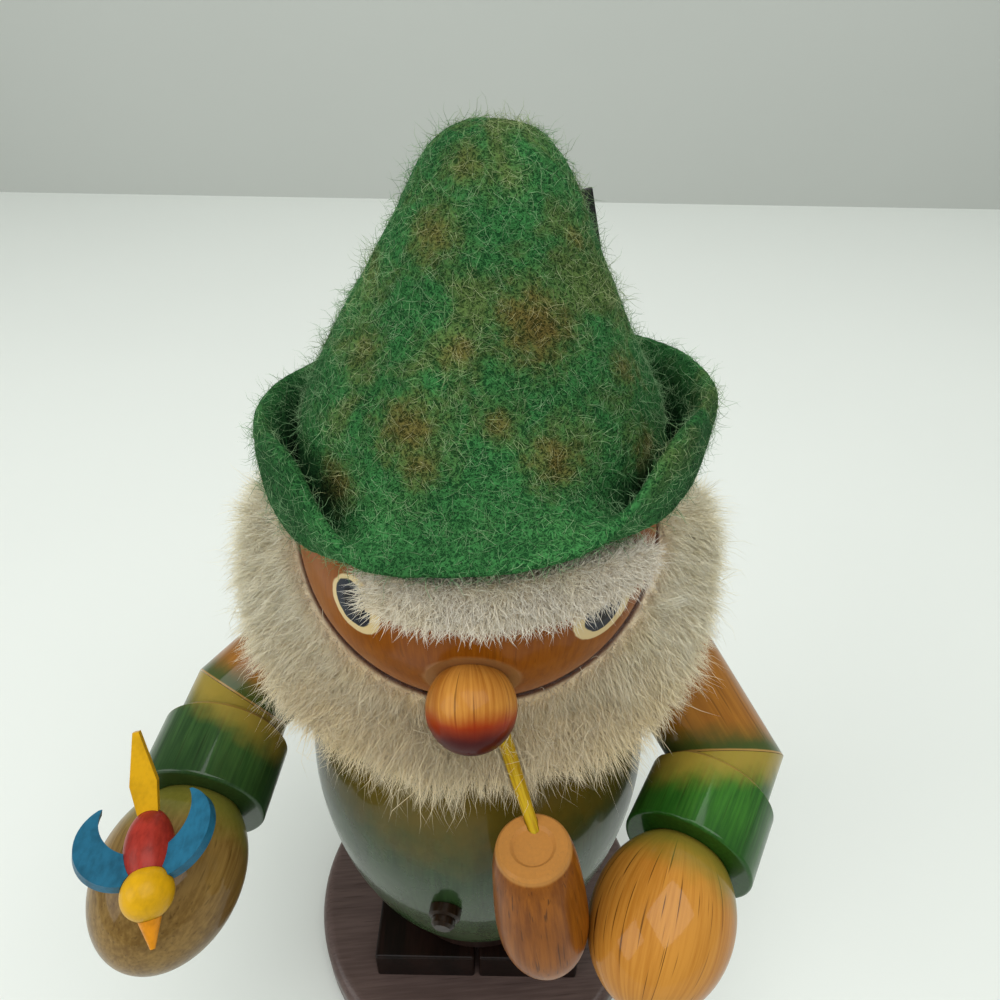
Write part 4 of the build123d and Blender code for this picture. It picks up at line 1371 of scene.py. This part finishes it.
@dataclass
class FeltHat:
    """The felt shell with its turned-up brim, pressed forward in front, and its loose fibres."""

    segments: int = 96
    fibres: int = 24000
    seed: int = 21
    lean: Point = (0.038, 0.138, 0.99)
    front_reach: tuple[float, float] = (22.0, 54.0)
    brim_lean: tuple[float, float] = (5.6, 4.2)
    fibre_thick: float = 0.036
    standing_share: float = 0.16

    # Radius and height over the head's middle, from the tip's outside round the brim to the tip's inside
    TURNED_UP = (
        (3.6, 67.4), (7.6, 66.3), (10.9, 62.8), (13.6, 57.9), (16.26, 52.3), (19.8, 45.6), (23.5, 38.8), (27.2, 32.4),
        (30.3, 26.3), (31.9, 20.6), (32.4, 15.0), (32.6, 11.0), (33.6, 10.8), (34.4, 15.0), (35.0, 21.0), (35.5, 25.2),
        (37.0, 27.4), (38.8, 26.6), (39.3, 23.3), (38.7, 17.2), (37.2, 11.8), (35.6, 9.5), (33.6, 8.9), (31.9, 9.5),
        (30.9, 12.5), (29.6, 16.5), (27.6, 21.5), (25.99, 25.2), (21.0, 37.1), (14.7, 50.0), (9.05, 60.0), (4.0, 63.9),
    )
    PRESSED = (
        (3.6, 67.4), (7.6, 66.3), (10.9, 62.8), (13.6, 57.9), (16.26, 52.3), (19.8, 45.6), (23.18, 38.8), (26.2, 32.4),
        (28.75, 26.5), (30.9, 21.8), (32.3, 18.9), (33.7, 17.1), (35.2, 16.1), (36.7, 15.6), (37.9, 15.3), (38.8, 14.9),
        (39.4, 14.2), (39.4, 13.3), (38.8, 12.6), (37.6, 12.1), (36.2, 11.7), (34.6, 11.0), (33.0, 10.2), (31.9, 9.6),
        (30.9, 12.5), (29.6, 16.5), (27.6, 21.5), (25.99, 25.2), (21.0, 37.1), (14.7, 50.0), (9.05, 60.0), (4.0, 63.9),
    )
    # How deep in the brim's fold a ring lies, by the ring's number, which sets how much painted shade it gets
    FOLD_SHADE = {
        9: 0.35, 10: 0.9, 11: 1.0, 12: 1.0, 13: 0.95, 14: 0.6, 15: 0.3,
        16: 0.3, 17: 0.34, 18: 0.38, 19: 0.4, 20: 0.4, 21: 0.3,
    }
    # How far off the head a ring that lies on it stays
    SNUG = {22: 0.9, 23: 0.35, 24: 0.3, 25: 0.5, 26: 0.9}
    TIP_OUTSIDE = 67.5
    TIP_INSIDE = 64.5
    ORDER_FROM = (0.0613, 0.0371, 0.1173)
    # How much of the brim's sideways lean each ring takes
    LEANING = (0.0,) * 8 + (0.1, 0.35, 0.7) + (1.0,) * 13 + (0.85, 0.6, 0.25) + (0.0,) * 5
    # Each stain's middle, radius and depth
    STAINS = (
        ((8.4, -14.0, 190.3), 8.2, 0.95), ((-5.7, -6.4, 200.1), 5.6, 0.75), ((-8.9, -21.7, 177.6), 6.4, 0.85),
        ((-1.9, -17.0, 187.7), 4.2, 0.8), ((3.8, -22.4, 179.1), 3.2, 0.85), ((11.7, -23.2, 173.9), 5.6, 0.9),
        ((-20.1, -20.2, 167.7), 5.2, 0.85), ((-7.4, -24.5, 173.6), 4.6, 0.75), ((14.2, -3.0, 198.8), 3.6, 0.7),
        ((21.8, -9.2, 181.3), 4.0, 0.75), ((24.8, -14.1, 170.2), 5.2, 0.8), ((-1.7, -1.2, 208.2), 4.6, 0.6),
        ((-16.2, -11.2, 184.8), 5.0, 0.6), ((6.0, 14.0, 190.0), 6.0, 0.7), ((-18.0, 14.0, 178.0), 5.5, 0.7),
        ((20.0, 16.0, 176.0), 5.0, 0.7),
    )
    GREEN = Felt(
        "green felt", (0.009, 0.064, 0.017), (0.052, 0.225, 0.062), (0.038, 0.036, 0.006), (0.205, 0.150, 0.040), STAINS
    )
    LOOSE = Felt(
        "loose felt fibres", (0.030, 0.165, 0.044), (0.270, 0.470, 0.230), (0.12, 0.100, 0.024), (0.56, 0.47, 0.22),
        STAINS, True,
    )
    LYING = Growth(
        lift=9.0, lift_spread=7.0, jitter=0.1, droop=0.0, settle=0.06, curl=0.42, clump=0.0, clump_every=1
    )
    STANDING = Growth(
        lift=42.0, lift_spread=18.0, jitter=0.2, droop=0.0, settle=0.0, curl=0.55, clump=0.0, clump_every=1
    )

    def build(self) -> None:
        """Makes and dresses the hat."""
        shell = self._shell()
        dress(shell, self.GREEN.build())
        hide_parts("felt_hat")
        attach(shell, FIGURE)
        self._fibres(shell, self.LOOSE.build())

    def _axes(self) -> Matrix:
        """The hat's own frame in the model's.

        Returns:
            The frame, in millimetres.
        """
        up = Vector(self.lean).normalized()
        across = (Vector((1.0, 0.0, 0.0)) - up * up.x).normalized()
        return Matrix.Translation(Vector(HEAD_CENTRE)) @ Matrix((across, up.cross(across), up)).transposed().to_4x4()

    def _turned_up(self) -> np.ndarray:
        """How far the brim is turned up all round.

        Returns:
            A share for each segment: 0 in front, 1 at the sides and the back.
        """
        turn = np.arange(self.segments) / self.segments * 2 * np.pi
        off = np.degrees(np.abs(np.angle(np.exp(1j * turn))))
        share = np.clip((off - self.front_reach[0]) / (self.front_reach[1] - self.front_reach[0]), 0, 1)
        return share * share * (3 - 2 * share)

    def _ring(self, index: int) -> np.ndarray:
        """One ring of the shell.

        Args:
            index: The ring's number in the outlines.

        Returns:
            Its points in the hat's frame.
        """
        turn = np.arange(self.segments) / self.segments * 2 * np.pi
        share = self._turned_up()
        front, side = np.array(self.PRESSED[index]), np.array(self.TURNED_UP[index])
        radius = front[0] + (side[0] - front[0]) * share
        lean = self.brim_lean[0] + (self.brim_lean[1] - self.brim_lean[0]) * share
        height = front[1] + (side[1] - front[1]) * share + self.LEANING[index] * lean * np.sin(turn)
        if index in self.SNUG:
            snug = np.sqrt(np.maximum(HEAD_RADIUS**2 - height**2, 0.0)) + self.SNUG[index]
            radius = np.maximum(snug, radius - (1.2 if index > min(self.SNUG) else 0.5))
        # The brim isn't quite round
        radius = radius + 0.25 * np.sin(3 * turn + 0.8 * index) * (index > 9)
        return np.stack([radius * np.sin(turn), -radius * np.cos(turn), height], 1)

    def _shell(self) -> bpy.types.Object:
        """The felt shell, drawn ring by ring from a circle.

        Returns:
            The new object.
        """
        bpy.ops.object.select_all(action="DESELECT")
        bpy.ops.mesh.primitive_circle_add(vertices=self.segments, radius=0.003, fill_type="NOTHING")
        piece = bpy.context.object
        piece.name = piece.data.name = "felt_hat_shell"
        bpy.ops.object.mode_set(mode="EDIT")
        for _ in range(len(self.TURNED_UP) - 1):
            bpy.ops.mesh.extrude_edges_move()
        bpy.ops.object.mode_set(mode="OBJECT")
        axes = self._axes()
        places = np.concatenate([self._ring(i) for i in range(len(self.TURNED_UP))])
        turned = places @ np.array(axes.to_3x3()).T + np.array(axes.translation)
        piece.data.vertices.foreach_set("co", (turned * MM).astype(np.float32).ravel())
        # The fold attribute carries the painted shade in the brim's fold
        fold = np.repeat(np.array([self.FOLD_SHADE.get(i, 0.0) for i in range(len(self.TURNED_UP))]), self.segments)
        made = piece.data.attributes.new("fold", "FLOAT", "POINT")
        made.data.foreach_set("value", (fold * np.tile(self._turned_up(), len(self.TURNED_UP))).astype(np.float32))
        self._close(piece, axes)
        apply_modifier(piece, "SUBSURF", levels=2, render_levels=2)
        lumps(piece, height=0.9, size=14.0)
        lumps(piece, height=0.35, size=2.2)
        piece.data.shade_smooth()
        LOG.info("%s: %d faces", piece.name, len(piece.data.polygons))
        return piece

    def _close(self, piece: bpy.types.Object, axes: Matrix) -> None:
        """Closes the two ends of the shell at the tip, turns its faces outwards and puts them in a fixed order.

        Args:
            piece: The open shell.
            axes: The hat's frame.
        """
        count = len(piece.data.vertices)
        for first, height in ((0, self.TIP_OUTSIDE), (count - self.segments, self.TIP_INSIDE)):
            select_only(piece)
            bpy.ops.object.mode_set(mode="EDIT")
            bpy.ops.mesh.select_all(action="DESELECT")
            bpy.ops.object.mode_set(mode="OBJECT")
            for vertex in piece.data.vertices[first : first + self.segments]:
                vertex.select = True
            bpy.ops.object.mode_set(mode="EDIT")
            bpy.ops.mesh.select_mode(type="VERT")
            bpy.ops.mesh.extrude_edges_move()
            bpy.ops.mesh.merge(type="CENTER")
            bpy.ops.object.mode_set(mode="OBJECT")
            point = axes @ Vector((0.0, 0.0, height))
            piece.data.vertices[len(piece.data.vertices) - 1].co = point * MM
        bpy.ops.object.mode_set(mode="EDIT")
        bpy.ops.mesh.select_all(action="SELECT")
        bpy.ops.mesh.normals_make_consistent(inside=False)
        # Extruding leaves edges and faces in another order each run, and the fibres are strewn by face.
        bpy.context.scene.cursor.location = self.ORDER_FROM
        bpy.ops.mesh.sort_elements(type="CURSOR_DISTANCE", elements={"VERT", "EDGE", "FACE"})
        bpy.ops.object.mode_set(mode="OBJECT")

    def _fibres(self, shell: bpy.types.Object, material: bpy.types.Material) -> None:
        """Loose fibres that lie on the felt, some of them standing off.

        Args:
            shell: The felt shell.
            material: The fibres' material.
        """
        rng = np.random.default_rng(self.seed)
        up = unit(np.array(self.lean))

        def outer(points: np.ndarray, normals: np.ndarray) -> np.ndarray:
            """No fibres inside the hat and in the brim's fold, and fewer on the brim.

            Args:
                points: The faces' middles.
                normals: Their normals, which don't matter here.

            Returns:
                Each face's share.
            """
            away = points - HEAD_CENTRE
            reach = np.linalg.norm(away - (away @ up)[:, None] * up, axis=1)
            height = away @ up
            inside = (reach < np.interp(height, (8.0, 14.0, 26.0, 64.0), (32.8, 30.9, 27.4, 4.0))) & (height < 65.5)
            fold = (reach > 31.6) & (reach < 35.2) & (height < 23.0) & (points[:, 1] > -22.0)
            return (~inside & ~fold) * np.where(reach > 35.0, 0.55, 1.0)

        roots, normals = surface_points(shell, self.fibres, rng, outer)
        standing = rng.random(len(roots)) < self.standing_share
        lengths = np.where(standing, 3.4, 3.0) * (0.5 + rng.random(len(roots)))
        flow = rng.standard_normal(roots.shape)
        paths = np.where(
            standing[:, None, None],
            self.STANDING.paths(roots, normals, flow, lengths, rng),
            self.LYING.paths(roots - 0.05 * normals, normals, flow, lengths, rng),
        )
        half = (len(paths) + 1) // 2
        for index, part in enumerate((paths[:half], paths[half:])):
            sizes = self.fibre_thick * (0.7 + 0.6 * rng.random(len(part)))
            piece = hair_object(f"felt_hat_fibres_{index + 1}", part, sizes, rng)
            dress(piece, material)
            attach(piece, FIGURE)
            LOG.info("%s: %d fibres", piece.name, len(part))


class Woodwork:
    """Dresses CAD nodes, which keep their shape."""

    @staticmethod
    def finish(node: str, finish: Finish) -> None:
        """Gives a CAD node a finish."""
        dress(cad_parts[node], finish.build())
        LOG.info("%s: %s", node, finish.name)


@dataclass
class FootedBase(Woodwork):
    """Base plate, shoes, trouser block, dowels and the incense tray."""

    plate: tuple[Colour, Colour] = ((0.118, 0.080, 0.070), (0.082, 0.054, 0.047))
    shoe: tuple[Colour, Colour] = ((0.014, 0.006, 0.004), (0.005, 0.003, 0.002))
    trouser: tuple[Colour, Colour] = ((0.024, 0.011, 0.008), (0.009, 0.004, 0.003))
    spigot: Spray = Spray((0.56, 0.36, 0.18), 28.85, 29.05)
    char: Spray = Spray((0.10, 0.055, 0.03), 36.0, 41.5, 0.5)
    tin: tuple[Colour, Colour] = ((0.62, 0.60, 0.55), (0.34, 0.30, 0.24))

    def build(self) -> None:
        """Dresses the lower body."""
        stain = Lacquer(
            "base stain", *self.plate, axis=(1, 0.1, 0), pores=0.4, roughness=(0.36, 0.5), coat=0.4, coat_roughness=0.25
        )
        self.finish("base_plate", stain)
        for node in ("right_shoe", "left_shoe"):
            stain = Lacquer(
                node + " stain", *self.shoe, axis=(0, 1, 0.05), pores=0.4, roughness=(0.34, 0.5),
                coat=0.2, coat_roughness=0.25,
            )
            self.finish(node, stain)
        stain = Lacquer(
            "trouser stain", *self.trouser, coat=0.3, coat_roughness=0.3, sprays=(self.spigot, self.char)
        )
        self.finish("trousers", stain)
        for node in ("shoe_dowels", "leg_dowels"):
            self.finish(node, bare_beech(node))
        for node in ("incense_tray", "tray_tack"):
            self.finish(node, Tin(node + " tin", *self.tin))


@dataclass
class TurnedFigure(Woodwork):
    """Torso, head, nose, arms, hands, dowels, buttons and the hat's strip."""

    honey: tuple[Colour, Colour] = ((0.36, 0.148, 0.018), (0.26, 0.098, 0.011))
    bare: Colour = (0.46, 0.26, 0.075)
    cream: Colour = (0.72, 0.56, 0.29)
    iris: Colour = (0.020, 0.024, 0.036)
    pupil: Colour = (0.006, 0.006, 0.008)
    nose_down: Point = (0.05, -0.588, -0.809)
    nose_radius: float = 7.5
    hand_radius: float = 13.2
    hand_reach: float = 38.0

    def build(self) -> None:
        """Dresses the upper body's wood."""
        olive = Spray((0.13, 0.088, 0.010), 82.0, 104.0, 0.95)
        torso = Lacquer(
            "torso lacquer", (0.028, 0.062, 0.019), (0.014, 0.034, 0.009), pores=0.3, roughness=(0.22, 0.34),
            coat=0.34, coat_roughness=0.06, sprays=(olive,),
        )
        self.finish("torso", torso)
        self._face()
        red = Spray((0.28, 0.024, 0.004), -1.8, 1.6, 0.94, self.nose_down)
        deep_red = Spray((0.055, 0.001, 0.001), 0.6, 4.0, 1.0, self.nose_down)
        nose = Lacquer(
            "nose lacquer", (0.58, 0.260, 0.046), (0.36, 0.125, 0.016), axis=(0.05, -0.80, -0.60), origin=NOSE_CENTRE,
            pores=0.6, coat=0.14, sprays=(red, deep_red), meridian=self.nose_radius,
        )
        self.finish("nose", nose)
        for side in Side:
            self._arm(side, *ARMS[side])
        for node in ("right_button", "left_button"):
            stain = Lacquer(
                node + " stain", (0.026, 0.014, 0.007), (0.010, 0.005, 0.002), axis=(0.0, -1.0, -0.2), coat=0.25
            )
            self.finish(node, stain)
        self.finish("hat_strip", BlackCard("black strip", (0.012, 0.012, 0.013), (0.045, 0.045, 0.047)))

    def _face(self) -> None:
        """The head's stain, blush and painted eyes."""
        blush = Spray((0.42, 0.150, 0.070), 15.0, 3.0, 0.6, tuple(FACE_NORMAL), tuple(HEAD_CENTRE))
        glue = Spot((0.42, 0.24, 0.10), (0.0, -31.5, 135.66), 8.5, 8.3, soft=0.12, strength=0.55)
        eyes = (
            Spot(self.cream, self._on_head(-34.8, 4.8), 5.3, 5.7, 14.0),
            Spot(self.iris, self._on_head(-35.6, 5.2), 3.7, 4.5, 22.0),
            Spot(self.pupil, self._on_head(-35.3, 5.6), 2.1, 2.8, 22.0),
            Spot(self.cream, self._on_head(40.6, 1.6), 7.1, 5.9, -12.0),
            Spot(self.iris, self._on_head(40.2, 2.0), 4.4, 4.4, -20.0),
            Spot(self.pupil, self._on_head(40.0, 2.4), 2.5, 2.7, -20.0),
        )
        face = Lacquer(
            "face lacquer", (0.30, 0.088, 0.004), (0.215, 0.055, 0.002), pores=0.25,
            coat=0.16, coat_roughness=0.14, sprays=(blush,), spots=(glue, *eyes),
        )
        self.finish("head", face)

    @staticmethod
    def _on_head(turn: float, rise: float) -> Point:
        """A point on the head's ball.

        Args:
            turn: Degrees from the front, towards the figure's left.
            rise: Degrees over the ball's middle.

        Returns:
            The point.
        """
        a, e = math.radians(turn), math.radians(rise)
        way = np.array([math.cos(e) * math.sin(a), -math.cos(e) * math.cos(a), math.sin(e)])
        return tuple(float(v) for v in HEAD_CENTRE + HEAD_RADIUS * way)

    def _arm(self, side: Side, shoulder: Point, elbow: Point, fore: Point) -> None:
        """One arm with its sprayed sleeve, cuff and hand.

        Args:
            side: Which arm.
            shoulder: The shoulder's middle.
            elbow: The elbow's middle, which is the middle of the mitre.
            fore: The way from the elbow to the hand.
        """
        name = side.value
        upper = unit(np.array(elbow) - np.array(shoulder))
        mitre = tuple(unit(upper + np.array(fore)))
        shade = Spray((0.022, 0.070, 0.014), -6.5, -0.8, 0.9, mitre, elbow)
        rubbed = Spray(self.bare, -0.55, -0.25, 0.8, mitre, elbow)
        sleeve = Lacquer(
            name + " sleeve lacquer", *self.honey, tuple(upper), shoulder, 0.45, sprays=(shade, rubbed)
        )
        self.finish(name + "_upper_arm", sleeve)
        # The two cuffs are lit and shaded copies of one green paint: the right one darker as painted shade, the left
        # one brighter as painted light
        if side is Side.RIGHT:
            cuff_green_by_side_light = (0.040, 0.100, 0.024), (0.013, 0.040, 0.010)
            palm = (0.27, 0.165, 0.045), (0.15, 0.082, 0.018)
            grain, pores, meridian = fore, 0.4, 0.0
        else:
            cuff_green_by_side_light = (0.038, 0.160, 0.016), (0.012, 0.066, 0.007)
            palm = (0.53, 0.235, 0.036), (0.40, 0.155, 0.018)
            grain, pores, meridian = (-0.32, -0.845, -0.426), 1.0, self.hand_radius
        worn = Spray((0.34, 0.24, 0.036), 8.5, 1.5, 0.85, mitre, elbow)
        foot = Spray(cuff_green_by_side_light[1], 17.0, 26.0, 0.6)
        edge = Band((0.36, 0.20, 0.05), 9.6, 0.62)
        cuff = Lacquer(
            name + " cuff lacquer", *cuff_green_by_side_light, fore, elbow, 0.45, sprays=(worn, foot), bands=(edge,)
        )
        self.finish(name + "_forearm", cuff)
        mist = Spray((0.15, 0.17, 0.022), 36.5, 27.5, 0.75, fore, elbow)
        middle = tuple(np.array(elbow) + self.hand_reach * np.array(fore))
        hand = Lacquer(
            name + " hand lacquer", *palm, grain, middle, pores, coat=0.36, sprays=(mist,), meridian=meridian
        )
        self.finish(name + "_hand", hand)
        for node in (name + "_shoulder_dowel", name + "_elbow_dowel"):
            self.finish(node, bare_beech(node))


@dataclass
class Pipe(Woodwork):
    """The quill stem and the turned bowl."""

    top: Point = (10.45, -45.738, 112.362)
    down: Point = (0.119, -0.059, -0.991)
    root: Point = (3.0, -24.855, 124.084)
    lead: Point = (0.337, -0.757, -0.559)

    def build(self) -> None:
        """Dresses the pipe."""
        pale = Spray((0.53, 0.260, 0.070), 1.5, 0.9, 0.62)
        bowl = Lacquer(
            "bowl lacquer", (0.30, 0.096, 0.007), (0.165, 0.046, 0.003), self.down, self.top, 0.7,
            coat=0.08, sprays=(pale,), rings=1.3,
        )
        self.finish("pipe_bowl", bowl)
        self.finish("pipe_stem", Quill("stem quill", (0.52, 0.35, 0.014), (0.34, 0.20, 0.004), self.lead, self.root))


@dataclass
class SongBird(Woodwork):
    """The small painted bird on the right hand."""

    red: Colour = (0.36, 0.032, 0.020)
    yellow: Colour = (0.66, 0.36, 0.006)
    orange: Colour = (0.72, 0.27, 0.010)
    blue: Colour = (0.016, 0.132, 0.225)

    def build(self) -> None:
        """Dresses the bird."""
        paints = {
            "bird_body": ("bird red", self.red, 0.6),
            "bird_head": ("bird_head yellow", self.yellow, 0.78),
            "bird_tail": ("bird_tail yellow", self.yellow, 0.78),
            "bird_beak": ("bird orange", self.orange, 0.7),
            "bird_right_wing": ("bird_right_wing blue", self.blue, 0.6),
            "bird_left_wing": ("bird_left_wing blue", self.blue, 0.6),
        }
        for node, (name, paint, depth) in paints.items():
            self.finish(node, BrushedPaint(name, paint, tuple(c * depth for c in paint)))
        self.finish("bird_peg", bare_beech("bird peg"))


@dataclass
class Stage:
    """Floor, backdrop, soft lamps and the camera."""

    side: float = 4.0
    wall_distance: float = 0.80
    sunk: float = 0.0003
    wall_middle: float = 1.4997
    floor_colour: Colour = (0.80, 0.835, 0.79)
    wall_colour: Colour = (0.535, 0.56, 0.525)
    sky_colour: Colour = (0.93, 0.96, 0.94)
    sky_strength: float = 0.36
    lens: float = 27.036
    sensor: float = 36.0
    near: float = 0.01
    eye: Point = (0.004, -0.113, 0.232)
    dip: float = 36.0
    roll: float = 1.0

    # Each lamp's name, place and side in metres, and power in watts, and what the lamps look at
    LAMPS = (("key", (0.20, -0.25, 1.25), 1.2, 13.4), ("fill", (-0.80, -0.35, 0.60), 0.7, 3.6))
    LOOK_AT = (0.0, 0.0, 0.11)

    def build(self) -> None:
        """Sets the stage."""
        floor_place = (0.0, self.wall_distance - self.side / 2.0, -self.sunk)
        self._surface("floor", floor_place, (0.0, 0.0, 0.0), self.floor_colour)
        wall_place = (0.0, self.wall_distance, self.wall_middle)
        self._surface("backdrop", wall_place, (math.radians(90.0), 0.0, 0.0), self.wall_colour)
        for lamp in self.LAMPS:
            self._lamp(*lamp)
        world = bpy.data.worlds.new("pale room")
        world.use_nodes = True
        sky = world.node_tree.nodes["Background"]
        sky.inputs["Color"].default_value = (*self.sky_colour, 1.0)
        sky.inputs["Strength"].default_value = self.sky_strength
        bpy.context.scene.world = world
        bpy.context.scene.view_settings.view_transform = "Standard"
        self._camera()

    def _surface(self, name: str, place: Point, turn: Point, colour: Colour) -> None:
        """A staged sheet.

        Args:
            name: Its name.
            place: Its middle in metres.
            turn: Its rotation.
            colour: Its colour.
        """
        bpy.ops.object.select_all(action="DESELECT")
        bpy.ops.mesh.primitive_plane_add(size=self.side, location=place, rotation=turn)
        sheet = bpy.context.object
        sheet.name = name
        dress(sheet, Paper(name + " paper", colour).build())

    @classmethod
    def _lamp(cls, name: str, place: Point, size: float, power: float) -> None:
        """A soft square lamp that looks at the figure.

        Args:
            name: Its name.
            place: Where it stands, in metres.
            size: Its side in metres.
            power: Its power in watts.
        """
        lamp = bpy.data.lights.new(name, "AREA")
        lamp.size, lamp.energy = size, power
        holder = bpy.data.objects.new(name, lamp)
        holder.location = place
        holder.rotation_euler = (Vector(cls.LOOK_AT) - Vector(place)).to_track_quat("-Z", "Y").to_euler()
        bpy.context.scene.collection.objects.link(holder)

    def _camera(self) -> None:
        """The camera at the photograph's place."""
        data = bpy.data.cameras.new("camera")
        data.lens, data.sensor_width, data.clip_start = self.lens, self.sensor, self.near
        camera = bpy.data.objects.new("camera", data)
        camera.location = self.eye
        tilt = Matrix.Rotation(math.radians(90.0 - self.dip), 3, "X") @ Matrix.Rotation(math.radians(self.roll), 3, "Z")
        camera.rotation_euler = tilt.to_euler()
        bpy.context.scene.collection.objects.link(camera)
        bpy.context.scene.camera = camera


def main() -> None:
    """Builds everything in order."""
    logging.basicConfig(level=logging.INFO, format="%(name)s: %(message)s")
    Stage().build()
    FootedBase().build()
    TurnedFigure().build()
    Pipe().build()
    SongBird().build()
    FeltHat().build()
    FurTrim().build()


if __name__ == "__main__":
    main()
